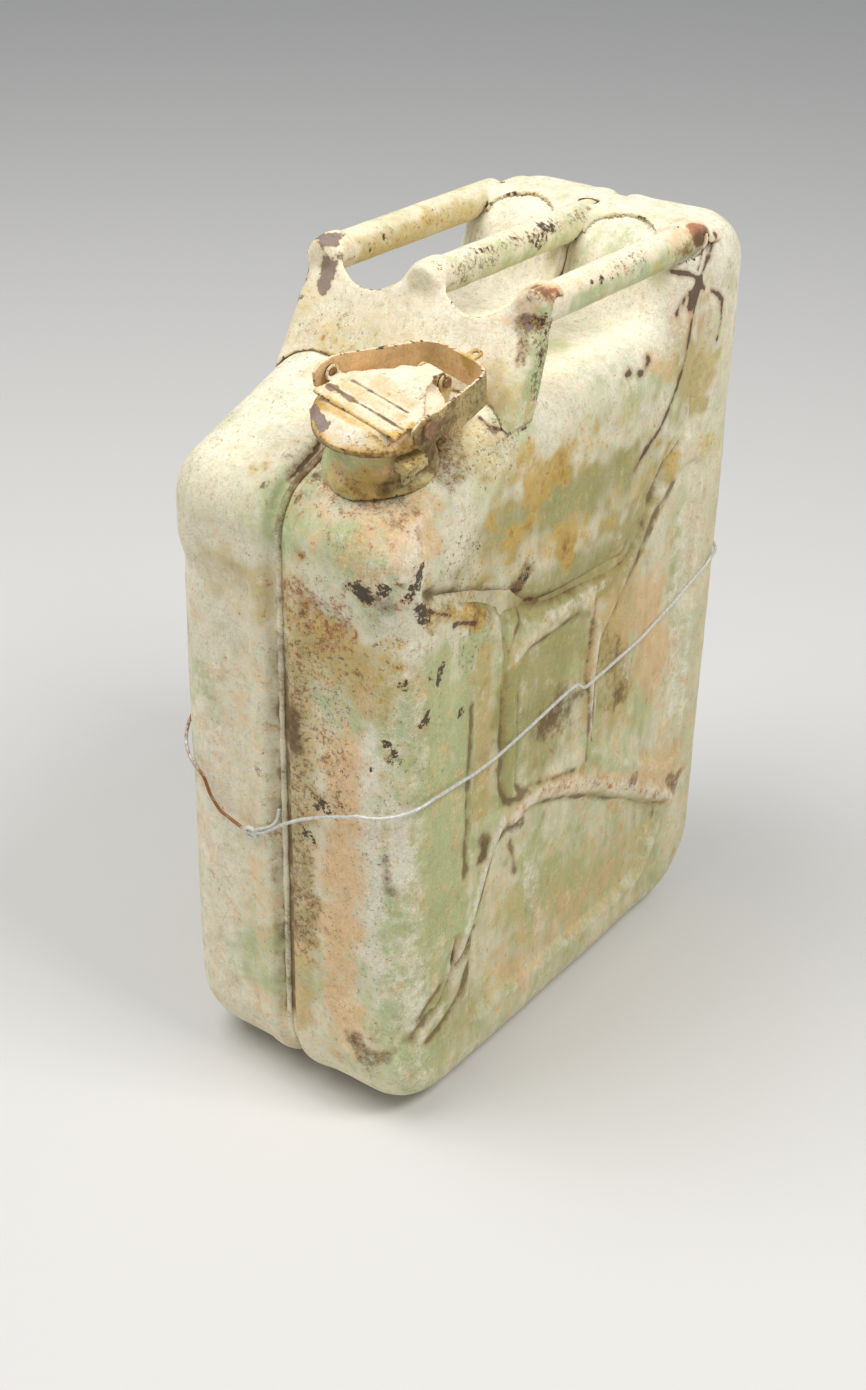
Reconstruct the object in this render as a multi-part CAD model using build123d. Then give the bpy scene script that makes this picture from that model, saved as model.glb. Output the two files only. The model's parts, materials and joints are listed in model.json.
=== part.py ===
from build123d import *
import math
import os

# Twenty litre pressed steel fuel can, millimetres.
# +X is the broad side with the spout, -Y the narrow spout side, +Z up, origin at the base centre.

# Body, two pressed half shells
body_width = 165.0
body_length = 345.0
hump_top = 472.5
sheet = 1.0
edge_round = 28.0
bottom_corner = 52.0
valley_rear_corner = 24.0
valley_front_corner = 60.0
valley_depth = 50.5
hump_flat = 78.5
hump_slope = 20.0
shoulder_drop = 88.0
shoulder_rise = 0.38

# Seam groove along the middle, with its weld
groove_half_width = 5.0
groove_depth = 5.0
groove_bevel = 3.0
groove_overlap = 8.0
weld_width = 3.0
weld_height = 1.2

# Pressed panels of the broad sides
field_depth = 2.6
centre_depth = 5.5
panel_slope = 45.0

# Clearances: between pieces that are joined, and round a turning pin
gap = 0.3
running_gap = 0.05

# Handles
tube_radius = 10.0
tube_wall = 1.2
tube_from_side = 13.5
tube_below_hump = 8.0
tube_past_corner = 18.0
bracket_sheet = 2.0
bracket_lean = 32.2
bracket_below_hump = 52.5
bracket_before_bail = 4.0
bracket_skirt = 16.0
bracket_bend = 7.0
lobe_half_width = 12.0
lobe_round = 9.0
flange_depth_foot = 25.0
flange_depth_top = 6.0
cover_sheet = 1.5
cover_length = 10.0
saddle_before_corner = 10.0
saddle_past_corner = 40.0
saddle_finger_half_width = 11.5
saddle_drop = 3.0

# Spout: place on the shoulder, lean and turn
neck_from_side = 45.5
neck_from_front = 43.5
neck_lean = 16.0
neck_roll = 6.0
neck_turn = -10.0
neck_bore_radius = 24.5
neck_wall = 1.5
neck_height = 30.5
neck_lip = 2.4
neck_skirt = 5.0
neck_flare_low = 1.5
neck_flare_high = 6.0
neck_lip_height = 2.0
neck_root = 14.0
neck_hole_margin = 2.0
vent_radius = 5.0
vent_wall = 0.8
vent_length = 70.0
vent_below_mouth = 8.0

# Lid and gasket, heights along the spout's axis from its foot
lid_sheet = 1.5
lid_clearance = 3.4
lid_rim_below_mouth = 3.0
lid_rim_above_mouth = 1.0
lid_dome = 5.0
lid_slope_width = 9.3
lid_shoulder_round = 0.5
gasket_inside = 3.5

# Strap over the lid: plan of the plate, ribs, ears
strap_sheet = 1.5
strap_front = 16.0
strap_inside_front = 3.8
strap_inside_middle = 6.3
strap_middle = 6.0
tongue_half_width = 11.5
tongue_inside_lid = 10.3
tongue_flat = 4.0
strap_rib = 2.2
strap_rib_sunk = 0.6
rib_places = (-13.0, -3.0, 8.0)
ear_inside_lid = 2.1
ear_sheet = 1.5
ear_radius = 4.5

# Hinge behind the neck
hinge_behind_lid = 5.2
hinge_below_mouth = 0.5
hinge_pin_radius = 2.5
hinge_pin_head = 1.5
knuckle_radius = 4.2
knuckle_half_width = 6.3
hinge_lug_sheet = 2.0
hinge_lug_gap = 0.7
hinge_lug_radius = 4.0
hinge_lug_rise = 6.0
hinge_plate_sheet = 2.5
hinge_plate_low = 4.0
hinge_plate_high = 18.0

# Bail, a U of strip on two pins, with a locking tab behind
bail_pivot_above_lid = 2.0
bail_sheet = 2.0
bail_side_gap = 1.5
bail_half_rear = 20.5
bail_behind_hinge = 19.5
bail_straight = 8.0
bail_front = 10.0
bail_front_corner = 26.0
bail_rear_corner = 15.0
bail_toe_round = 6.0
bail_above_pivot = 6.5
bail_below_pivot = 11.0
bail_rear_below_pivot = 7.0
bail_band = 18.0
bail_step_front = 11.0
bail_step_rear = 16.0
bail_step_drop = 18.5
bail_step_length = 5.0
bail_pin_radius = 2.5
bail_head_radius = 4.2
bail_head = 1.6
tab_place = 4.0
tab_width = 7.0
tab_length = 10.0
tab_hole_radius = 1.8

# Lugs on the neck under the bail
cam_place = -8.0
cam_length = 14.0
cam_below_mouth = 7.5
cam_height = 7.0
cam_reach = 9.5
cam_post_width = 8.0
cam_post_sheet = 2.5

# Wire round the body: its height at each corner and at its lowest point
wire_radius = 1.0
wire_bend = 12.0
wire_low_x = -22.0
wire_height_low = 178.0
wire_height_right_front = 225.0
wire_height_right_rear = 260.0
wire_height_left_rear = 246.0
wire_height_left_front = 224.0

# Places that follow from these sizes
side = body_width / 2
front = -body_length / 2
rear = body_length / 2
valley_floor = hump_top - valley_depth
hump_front_top = rear - hump_flat
hump_front_foot = hump_front_top - hump_slope
shoulder_front_height = hump_top - shoulder_drop
shoulder_end = front + (valley_floor - shoulder_front_height) / shoulder_rise
cutter = 2 * body_length

# Side outline of the body. Columns: y, z, corner radius
side_outline = [
    (front, 0, bottom_corner),
    (rear, 0, bottom_corner),
    (rear, hump_top, edge_round + 2),
    (hump_front_top, hump_top, edge_round + 3),
    (hump_front_foot, valley_floor, valley_rear_corner),
    (shoulder_end, valley_floor, valley_front_corner),
    (front, shoulder_front_height, edge_round + 6),
]

# Pressed panels of a broad side. Columns: depth, corner radius, outline points.
# A point gives y as a share of the half length and z as a share of the height.
panels = [
    (field_depth, 12, [(-0.60, 0.68), (-0.29, 0.625), (0.26, 0.625), (0.63, 0.75), (0.68, 0.85),
                       (-0.60, 0.85)]),
    (centre_depth, 11, [(-0.355, 0.39), (0.065, 0.39), (0.065, 0.58), (-0.355, 0.58)]),
    (field_depth, 8, [(0.16, 0.355), (0.42, 0.28), (0.74, 0.22), (0.74, 0.70), (0.64, 0.70),
                      (0.16, 0.525)]),
    (field_depth, 14, [(-0.58, 0.09), (0.53, 0.09), (0.68, 0.185), (0.38, 0.245), (0, 0.343),
                       (-0.41, 0.343), (-0.56, 0.222)]),
    (field_depth, 8, [(-0.60, 0.295), (-0.47, 0.395), (-0.47, 0.618), (-0.60, 0.643)]),
]


def side_face(grow=0.0):
    """The body's outline seen from the side, on the YZ plane, larger all round by grow."""
    points = [(y, z) for y, z, radius in side_outline]
    radii = [radius for y, z, radius in side_outline]
    face = Plane.YZ * make_face(FilletPolyline(*points, radius=radii, close=True))
    return offset(face, grow) if grow else face


def half_slab(grow, x_low, edge):
    """The outline from x_low out to the broad side, with its outer edge rounded."""
    block = Pos(x_low, 0, 0) * extrude(side_face(grow), side + grow - x_low, dir=(1, 0, 0))
    return fillet(block.faces().sort_by(Axis.X)[-1].edges(), edge)


def pressing(depth, radius, outline, wall):
    """The space that one pressed panel takes from the half body; wall moves it inwards by the sheet."""
    points = [(y_share * rear, z_share * hump_top) for y_share, z_share in outline]
    face = make_face(FilletPolyline(*points, radius=radius, close=True))
    if wall:
        face = offset(face, wall * math.tan(math.radians(panel_slope) / 2))
    return Pos(side - wall, 0, 0) * extrude(Plane.YZ * face, depth, dir=(-1, 0, 0), taper=panel_slope)


def half_body(wall):
    """Half of the body towards +X as a filled solid, smaller all round by wall."""
    pan = half_slab(-wall, groove_half_width + wall, edge_round - wall)
    pan = chamfer(pan.faces().sort_by(Axis.X)[0].edges(), groove_bevel)
    band = extrude(side_face(-wall - groove_depth), groove_half_width + groove_overlap, dir=(1, 0, 0))
    body = pan + band
    for depth, radius, outline in panels:
        body -= pressing(depth, radius, outline, wall)
    return body


def filled_body(grow):
    """The body without its groove and pressings, larger all round by grow."""
    half = half_slab(grow, 0, edge_round + grow)
    return half + mirror(half, Plane.YZ)


def shoulder_z(y):
    return shoulder_front_height + shoulder_rise * (y - front)


# Spout frame: X across, Y towards the handles, Z along the spout
neck_y = front + neck_from_front
lean = math.radians(neck_lean)
roll = math.radians(neck_roll)
turn = math.radians(neck_turn)
neck_axis = Vector(math.sin(roll), -math.sin(lean) * math.cos(roll), math.cos(lean) * math.cos(roll))
level_x = (Vector(1, 0, 0) - neck_axis * neck_axis.X).normalized()
level_y = neck_axis.cross(level_x)
neck_across = level_x * math.cos(turn) + level_y * math.sin(turn)
neck_base = (side - neck_from_side, neck_y, shoulder_z(neck_y))
spout = Plane(origin=neck_base, x_dir=neck_across, z_dir=neck_axis).location
neck_outer = neck_bore_radius + neck_wall
lid_radius = neck_outer + neck_lip + lid_clearance + lid_sheet
hinge_y = lid_radius + hinge_behind_lid
hinge_z = neck_height - hinge_below_mouth
bail_rear = hinge_y + bail_behind_hinge


def ring(inner, outer, low, high):
    return Pos(0, 0, low) * extrude(Circle(outer) - Circle(inner), high - low)


def round_x(radius, x_low, x_high, y, z):
    """A cylinder along X."""
    return Pos(x_low, y, z) * (Rot(0, 90, 0) * extrude(Circle(radius), x_high - x_low))


def plate_x(points, x_low, x_high):
    """A plate with the outline points (y, z), between two X planes."""
    face = Plane.YZ * make_face(Polyline(*points, close=True))
    return Pos(x_low, 0, 0) * extrude(face, x_high - x_low, dir=(1, 0, 0))


blank = filled_body(gap)
shell = half_body(0) - half_body(sheet)
neck_hole = spout * (Pos(0, 0, -neck_outer) * extrude(Circle(neck_outer + neck_hole_margin), 2 * neck_outer))
pieces = {}
pieces["left_shell"] = mirror(shell, Plane.YZ)
pieces["right_shell"] = shell - neck_hole

# Weld bead in the groove
bead = side_face(weld_height - groove_depth) - side_face(-groove_depth)
pieces["seam_weld"] = Pos(-weld_width / 2, 0, 0) * extrude(bead, weld_width, dir=(1, 0, 0))

# Handles: the front bracket's plate leans back from its foot behind the spout to the tubes' tops
tube_height = hump_top - tube_below_hump
tube_spacing = side - tube_from_side
tube_end = hump_front_top + tube_past_corner
tubes = (("left", -tube_spacing), ("centre", 0.0), ("right", tube_spacing))
bracket_foot_y = neck_y + bail_rear - bracket_before_bail
bracket_foot_z = hump_top - bracket_below_hump
bracket_half_width = tube_spacing + tube_radius - 0.5
lean_back = math.radians(bracket_lean)
bracket_length = (tube_height + tube_radius - bracket_foot_z) / math.cos(lean_back)
bracket_top_y = bracket_foot_y + bracket_length * math.sin(lean_back)
bracket_plane = Plane(origin=(0, bracket_foot_y, bracket_foot_z), x_dir=(1, 0, 0),
                      z_dir=(0, -math.cos(lean_back), math.sin(lean_back)))
behind_plate = bracket_plane.offset(-bracket_sheet)


def tube_rod(radius, x, start_plane):
    """A rod along one handle from a plane of the bracket, with a domed rear end on the hump."""
    start = bracket_foot_y
    rod = Pos(x, start, tube_height) * (Rot(-90, 0, 0) * extrude(Circle(radius), tube_end - start))
    rod += Pos(x, tube_end, tube_height) * Sphere(radius)
    return split(rod, start_plane, keep=Keep.BOTTOM)


def tube_cover(x, y_low, y_high):
    """Sheet that wraps the upper part of a tube between two places."""
    inner = tube_radius + gap
    cover = tube_rod(inner + cover_sheet, x, bracket_plane) - tube_rod(inner, x, bracket_plane)
    room = Pos(0, (y_low + y_high) / 2, tube_height - saddle_drop + tube_radius) * Box(
        2 * bracket_half_width, y_high - y_low, 2 * tube_radius)
    return cover & room


def bracket_tray(half_width, plate_front, corner):
    """A block behind the bracket's plate whose two front edges are bent round."""
    depth = 2 * flange_depth_foot
    block = Pos(0, (bracket_length - bracket_skirt) / 2, plate_front - depth / 2) * Box(
        2 * half_width, bracket_length + bracket_skirt, depth)
    edges = block.edges().filter_by(Axis.Y).group_by(Axis.Z)[-1]
    return fillet(edges, corner)


def front_bracket():
    """Sheet bent up from the shoulder to the tubes, with a lobe over each tube and turned back sides."""
    bent = bracket_tray(bracket_half_width, 0, bracket_bend)
    bent -= bracket_tray(bracket_half_width - bracket_sheet, -bracket_sheet, bracket_bend - bracket_sheet)
    bent = bent & plate_x([(-bracket_skirt, bracket_sheet), (bracket_length, bracket_sheet),
                           (bracket_length, -flange_depth_top), (-bracket_skirt, -flange_depth_foot)],
                          -bracket_half_width, bracket_half_width)
    outline = Rectangle(2 * bracket_half_width, 2 * bracket_length)
    for notch_x in (-tube_spacing / 2, tube_spacing / 2):
        outline -= Pos(notch_x, bracket_length) * Circle(tube_spacing / 2 - lobe_half_width)
    outline = fillet([v for v in outline.vertices() if v.Y > bracket_length - 1], lobe_round)
    bent = bent & (Pos(0, 0, -flange_depth_foot) * extrude(outline, 2 * flange_depth_foot))
    return bracket_plane.location * bent


def rear_saddle():
    """Sheet over the front of the hump, scalloped between the tubes."""
    low = hump_front_top - saddle_before_corner
    high = hump_front_top + saddle_past_corner
    plan = Pos(0, (low + high) / 2) * Rectangle(2 * (tube_spacing + tube_radius), high - low)
    for notch_x in (-tube_spacing / 2, tube_spacing / 2):
        plan -= Pos(notch_x, low) * Circle(tube_spacing / 2 - saddle_finger_half_width)
    skin = filled_body(gap + cover_sheet) - blank
    return skin & (Pos(0, 0, tube_height - saddle_drop) * extrude(plan, valley_depth))


bracket = front_bracket()
saddle = rear_saddle()
for name, x in tubes:
    bracket += tube_cover(x, bracket_foot_y, bracket_top_y + cover_length)
    saddle += tube_cover(x, hump_front_top, tube_end + 2 * tube_radius)
for name, x in tubes:
    room = tube_rod(tube_radius + gap, x, behind_plate)
    bracket -= room
    saddle -= room
    tube = tube_rod(tube_radius, x, behind_plate) - tube_rod(tube_radius - tube_wall, x, behind_plate)
    pieces["handle_tube_" + name] = tube - blank
pieces["front_handle_bracket"] = bracket - blank
pieces["rear_handle_saddle"] = saddle - blank

# Neck with its skirt on the shoulder and its rolled lip
neck_section = make_face(Polyline(
    (neck_bore_radius, -neck_root), (neck_outer + neck_skirt, -neck_root),
    (neck_outer + neck_skirt, neck_flare_low), (neck_outer, neck_flare_high),
    (neck_outer, neck_height - 2 * neck_lip_height),
    (neck_outer + neck_lip, neck_height - neck_lip_height), (neck_outer + neck_lip, neck_height),
    (neck_bore_radius, neck_height), close=True))
pieces["spout_neck"] = spout * revolve(Plane.XZ * neck_section, Axis.Z) - blank
neck_outside = Pos(0, 0, -neck_root) * extrude(Circle(neck_outer + gap), neck_height + neck_root)
neck_outside += Pos(0, 0, -neck_root) * extrude(
    Circle(neck_outer + neck_skirt + gap), neck_root + neck_flare_high)
vent_top = neck_height - vent_below_mouth
vent = ring(vent_radius - vent_wall, vent_radius, vent_top - vent_length, vent_top)
pieces["vent_pipe"] = spout * (Pos(0, neck_bore_radius - vent_radius - gap, 0) * vent)


def cam_lug(way):
    """A square lug on a post at one side of the neck."""
    top = neck_height - cam_below_mouth
    post_x = way * (neck_outer + cam_post_sheet / 2)
    lug_x = way * (neck_outer + cam_reach / 2)
    post = Pos(post_x, cam_place, top / 2) * Box(cam_post_sheet, cam_post_width, top)
    lug = Pos(lug_x, cam_place, top - cam_height / 2) * Box(cam_reach, cam_length, cam_height)
    return spout * (post + lug - neck_outside)


pieces["cam_lug_left"] = cam_lug(-1)
pieces["cam_lug_right"] = cam_lug(1)


def hinge_lugs():
    """Two ears behind the neck that carry the hinge pin, on a plate that joins them."""
    inner = knuckle_half_width + hinge_lug_gap
    outer = inner + hinge_lug_sheet
    whole = Pos(0, neck_outer + hinge_plate_sheet / 2, (hinge_plate_low + hinge_plate_high) / 2) * Box(
        2 * outer, hinge_plate_sheet, hinge_plate_high - hinge_plate_low)
    outline = [
        (neck_outer, hinge_plate_low), (hinge_y - hinge_lug_radius, hinge_plate_low + hinge_lug_rise),
        (hinge_y + hinge_lug_radius, hinge_z - hinge_lug_rise), (hinge_y + hinge_lug_radius, hinge_z),
        (hinge_y - hinge_lug_radius, hinge_z), (hinge_y - hinge_lug_radius, hinge_z - hinge_lug_rise),
        (neck_outer, hinge_plate_high),
    ]
    for x_low in (-outer, inner):
        x_high = x_low + hinge_lug_sheet
        whole += plate_x(outline, x_low, x_high) + round_x(hinge_lug_radius, x_low, x_high, hinge_y, hinge_z)
    whole -= neck_outside
    return spout * (whole - round_x(hinge_pin_radius, -outer, outer, hinge_y, hinge_z))


pieces["hinge_lugs"] = hinge_lugs()
pin_half = knuckle_half_width + hinge_lug_gap + hinge_lug_sheet + hinge_pin_head
pieces["hinge_pin"] = spout * round_x(hinge_pin_radius, -pin_half, pin_half, hinge_y, hinge_z)

# Lid: flat top, slope and rim, with the gasket under the slope
rim_low = neck_height - lid_rim_below_mouth
rim_high = neck_height + lid_rim_above_mouth
lid_top = rim_high + lid_dome
lid_flat_radius = lid_radius - lid_slope_width
slope_foot = (lid_radius - 2.8 * lid_sheet, rim_high + lid_shoulder_round)
lid_section = make_face(Polyline(
    (0, lid_top), (lid_flat_radius, lid_top), (lid_radius - 2 * lid_sheet, rim_high + lid_sheet),
    (lid_radius, rim_high - lid_shoulder_round), (lid_radius, rim_low), (lid_radius - lid_sheet, rim_low),
    (lid_radius - lid_sheet, rim_high - 2 * lid_shoulder_round), slope_foot,
    (lid_flat_radius, lid_top - lid_sheet), (0, lid_top - lid_sheet), close=True))
pieces["lid"] = spout * revolve(Plane.XZ * lid_section, Axis.Z)
gasket_outer = neck_outer + neck_lip - gap
slope_share = (gasket_outer - lid_flat_radius) / (slope_foot[0] - lid_flat_radius)
gasket_edge = lid_top - lid_sheet - slope_share * (lid_top - lid_sheet - slope_foot[1]) - gap
gasket_inner = neck_bore_radius - gasket_inside
gasket_low = neck_height + gap
gasket_section = make_face(Polyline(
    (gasket_inner, gasket_low), (gasket_outer, gasket_low), (gasket_outer, gasket_edge),
    (lid_flat_radius, lid_top - lid_sheet), (gasket_inner, lid_top - lid_sheet), close=True))
pieces["lid_gasket"] = spout * revolve(Plane.XZ * gasket_section, Axis.Z)

# Bail pivot, on ears that stand at the lid's sides
pivot_z = lid_top + bail_pivot_above_lid
ear_half = lid_radius - ear_inside_lid
bail_half_inner = ear_half + ear_sheet + bail_side_gap


def lid_strap():
    """Ribbed plate over the lid, with a round tongue, ears at its front corners and the hinge's knuckle."""
    low = lid_top
    high = lid_top + strap_sheet
    tongue_y = lid_radius - tongue_inside_lid
    bend = tongue_y + tongue_flat
    knuckle_top = hinge_z + knuckle_radius
    plate = plate_x([(-strap_front, low), (-strap_front, high), (bend, high), (hinge_y, knuckle_top),
                     (hinge_y, knuckle_top - strap_sheet), (bend, low)], -lid_radius, lid_radius)
    upper_half = Pos(0, 0, high + strap_rib) * Box(cutter, cutter, 2 * strap_rib)
    for place in rib_places:
        plate += round_x(strap_rib, -lid_radius, lid_radius, place, high - strap_rib_sunk) & upper_half
    half_front = lid_radius - strap_inside_front
    half_middle = lid_radius - strap_inside_middle
    plan = make_face(Polyline(
        (-half_front, -strap_front), (half_front, -strap_front), (half_middle, strap_middle),
        (tongue_half_width, tongue_y), (-tongue_half_width, tongue_y),
        (-half_middle, strap_middle), close=True))
    plan += Pos(0, tongue_y) * Circle(tongue_half_width)
    plan += Pos(0, (tongue_y + hinge_y) / 2) * Rectangle(
        2 * knuckle_half_width, hinge_y - tongue_y)
    whole = plate & extrude(plan, pivot_z)
    whole += round_x(knuckle_radius, -knuckle_half_width, knuckle_half_width, hinge_y, hinge_z)
    whole -= round_x(hinge_pin_radius + running_gap, -lid_radius, lid_radius, hinge_y, hinge_z)
    arm_length = ear_half + ear_sheet - half_middle + 2
    for way in (-1, 1):
        x_low = way * (ear_half + ear_sheet / 2) - ear_sheet / 2
        ear = round_x(ear_radius, x_low, x_low + ear_sheet, 0, pivot_z)
        arm = Pos(way * (ear_half + ear_sheet - arm_length / 2), 0, (low + high) / 2) * Box(
            arm_length, 2 * ear_radius, strap_sheet)
        whole += ear + arm
        whole -= round_x(bail_pin_radius, x_low - gap, x_low + ear_sheet + gap, 0, pivot_z)
    return spout * whole


pieces["lid_strap"] = lid_strap()


def bail():
    """A U of strip, cut to its side outline, with its locking tab."""
    outer = bail_half_inner + bail_sheet
    ends = -2 * bail_front
    plan = [(outer, ends), (outer, bail_straight), (bail_half_rear, bail_rear + bail_sheet),
            (-bail_half_rear, bail_rear + bail_sheet), (-outer, bail_straight), (-outer, ends)]
    sharp = 0.1
    radii = [sharp, bail_front_corner, bail_rear_corner, bail_rear_corner, bail_front_corner, sharp]
    strip = make_face(FilletPolyline(*plan, radius=radii, close=True))
    strip -= offset(strip, -bail_sheet)
    behind = bail_rear + 2 * bail_sheet
    top = pivot_z + bail_above_pivot
    rear_top = pivot_z - bail_rear_below_pivot
    low = pivot_z - bail_below_pivot
    step = pivot_z - bail_step_drop
    strip = extrude(strip, 2 * pivot_z) & plate_x([
        (-bail_front, top - bail_toe_round / 2), (bail_toe_round - bail_front, top),
        (bail_toe_round / 2, top), (behind, rear_top), (behind, rear_top - bail_band),
        (bail_step_rear + bail_step_length, step), (bail_step_rear, step), (bail_step_front, low), (0, low),
        (-bail_front, low + bail_toe_round)], -outer, outer)
    tab_rear = bail_rear + tab_length
    tab = Pos(tab_place, (bail_rear + tab_rear) / 2) * Rectangle(tab_width, tab_length)
    tab = fillet([v for v in tab.vertices() if v.Y > tab_rear - 1], tab_width / 2.5)
    tab -= Pos(tab_place, tab_rear - tab_width / 2) * Circle(tab_hole_radius)
    strip += Pos(0, 0, rear_top - bail_sheet) * extrude(tab, bail_sheet)
    strip -= round_x(bail_pin_radius + running_gap, -outer - 1, outer + 1, 0, pivot_z)
    return spout * strip


pieces["bail"] = bail()
pins = []
for way in (-1, 1):
    head = way * (bail_half_inner + bail_sheet + gap)
    tip = head + way * bail_head
    pin = round_x(bail_pin_radius, min(way * ear_half, head), max(way * ear_half, head), 0, pivot_z)
    pin += round_x(bail_head_radius, min(head, tip), max(head, tip), 0, pivot_z)
    pins.append(spout * pin)
pieces["bail_pins"] = Compound(pins)


def wire_tie():
    """A closed loop of wire, tight round the body's corners and pulled down at the front."""
    half_x = side + gap + wire_radius
    half_y = rear + gap + wire_radius
    corner = edge_round + gap + wire_radius
    points = [
        (wire_low_x, -half_y, wire_height_low),
        (half_x, -half_y, wire_height_right_front),
        (half_x, half_y, wire_height_right_rear),
        (-half_x, half_y, wire_height_left_rear),
        (-half_x, -half_y, wire_height_left_front),
    ]
    path = FilletPolyline(*points, radius=[wire_bend, corner, corner, corner, corner], close=True)
    stretches = []
    for edge in path.edges():
        section = Plane(origin=edge @ 0, z_dir=edge % 0) * Circle(wire_radius)
        stretches.append(sweep(section, edge))
    return stretches[0].fuse(*stretches[1:])


pieces["wire_tie"] = wire_tie()

os.makedirs("parts", exist_ok=True)
for name, shape in pieces.items():
    export_step(shape, "parts/" + name + ".step")
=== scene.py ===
import json
import math

import bmesh
import bpy
import numpy as np
from mathutils import Matrix, Vector, geometry, noise
from mathutils.bvhtree import BVHTree


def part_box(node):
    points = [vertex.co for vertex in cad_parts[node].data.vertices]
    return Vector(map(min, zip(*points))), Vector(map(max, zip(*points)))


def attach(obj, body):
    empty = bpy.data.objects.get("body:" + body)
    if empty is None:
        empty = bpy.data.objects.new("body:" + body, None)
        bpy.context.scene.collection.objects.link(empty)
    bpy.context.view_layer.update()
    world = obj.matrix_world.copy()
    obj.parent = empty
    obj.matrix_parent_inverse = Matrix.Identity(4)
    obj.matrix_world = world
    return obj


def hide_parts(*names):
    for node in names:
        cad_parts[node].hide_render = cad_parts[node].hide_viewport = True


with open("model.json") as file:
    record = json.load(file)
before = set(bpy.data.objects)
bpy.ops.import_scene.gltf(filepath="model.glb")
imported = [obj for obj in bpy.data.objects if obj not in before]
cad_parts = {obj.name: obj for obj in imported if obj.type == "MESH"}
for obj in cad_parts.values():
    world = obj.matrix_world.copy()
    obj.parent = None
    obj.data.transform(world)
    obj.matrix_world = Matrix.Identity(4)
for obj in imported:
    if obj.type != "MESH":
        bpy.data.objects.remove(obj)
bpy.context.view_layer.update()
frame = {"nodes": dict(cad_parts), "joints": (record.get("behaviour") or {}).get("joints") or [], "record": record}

MM = 0.001
NODES = frame["nodes"]

# Body sizes from the frame, in millimetres
shell_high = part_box("right_shell")[1]
HALF_WIDTH = shell_high.x / MM
HALF_LENGTH = shell_high.y / MM
TOP = shell_high.z / MM

# Body form
EDGE_ROUND = 28.0
SHEET = 1.0
GROOVE_DEPTH = 5.0
SHOULDER_FRONT = TOP - 88.0
SHOULDER_RISE = 0.38
VALLEY_FLOOR = TOP - 50.5
SHOULDER_END = -HALF_LENGTH + (VALLEY_FLOOR - SHOULDER_FRONT) / SHOULDER_RISE
HUMP_TOP_START = HALF_LENGTH - 78.5
HUMP_FOOT = HALF_LENGTH - 98.5

# Side outline of the body. Columns: y, z, corner radius
SIDE_OUTLINE = [
    (-HALF_LENGTH, 0.0, 52.0),
    (HALF_LENGTH, 0.0, 52.0),
    (HALF_LENGTH, TOP, 30.0),
    (HUMP_TOP_START, TOP, 31.0),
    (HUMP_FOOT, VALLEY_FLOOR, 24.0),
    (SHOULDER_END, VALLEY_FLOOR, 60.0),
    (-HALF_LENGTH, SHOULDER_FRONT, 34.0),
]

# Section of a half body from the seam to the edge's start. Columns: x, depth below the outline
GROOVE_SECTION = [
    (0.0, GROOVE_DEPTH), (2.4, GROOVE_DEPTH), (4.6, 4.6), (5.8, 3.3),
    (7.2, 1.7), (8.8, 0.6), (11.0, 0.1), (13.5, 0.0),
]

# Spout frame, as the lid's joint and the mouth's mount give it
LID_JOINT = next(joint for joint in frame["joints"] if joint["name"] == "lid_hinge")
MOUTH = next(mount for mount in frame["record"]["mounts"] if mount["name"] == "spout_mouth")
ACROSS = -Vector(LID_JOINT["axis"]).normalized()
NECK_AXIS = Vector(MOUTH["axis"]).normalized()
BACK = NECK_AXIS.cross(ACROSS).normalized()
NECK_HEIGHT = 30.5
NECK_BASE = Vector(MOUTH["pos_m"]) / MM - NECK_AXIS * NECK_HEIGHT
NECK_HOLE = 28.0
NECK_HOLE_SIDES = 64

# Wire and weld
wire_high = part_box("wire_tie")[1]
WIRE_GAP = 0.3
WIRE_RADIUS = (wire_high.x / MM - HALF_WIDTH - WIRE_GAP) / 2
WIRE_LIFT = WIRE_GAP + WIRE_RADIUS
BEAD_RADIUS = 1.3
BEAD_RISE = 0.3
BEAD_STRETCH = 1.5
BEAD_STEP = 2.5
BEAD_SIDES = 10

# Scratches and creases are stored as a reach less the distance from their line, times their sharpness.
# The places of their line are moved onto the surface at every step.
LINE_KINDS = ("scratch", "crease")
LINE_REACH = 8.0
LINE_STEP = 4.0

# Where marks of these kinds meet, the strongest shows; the others add up
STRONGEST_SHOWS = LINE_KINDS + ("chips", "primer", "specks")


def spout_point(across, back, up):
    """A place in the spout's own frame, in millimetres of the can's frame."""
    return NECK_BASE + ACROSS * across + BACK * back + NECK_AXIS * up


# Camera, floor and light
CAMERA_PLACE = (0.58842, -0.84039, 0.78221)
CAMERA_TURN = math.radians(36.03)
CAMERA_DIP = math.radians(29.88)
CAMERA_ROLL = math.radians(1.13)
FILM_LONG_SIDE = 36.0
LENS = 50.06
FLOOR_SIZE = 40.0
FLOOR_COLOUR = (0.72, 0.71, 0.69, 1)
SKY_COLOUR = (0.93, 0.96, 1.0, 1)
SKY_STRENGTH = 0.36
LAMP_COLOUR = (1.0, 0.985, 0.965)
LAMP_TARGET = (0.0, 0.0, 0.25)

# Soft lamps. Columns: name, place, size, power
LAMPS = [
    ("sky_panel", (-0.7, -0.8, 2.4), 1.5, 39.0),
    ("side_panel", (1.35, 0.1, 2.1), 0.8, 27.0),
]


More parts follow.
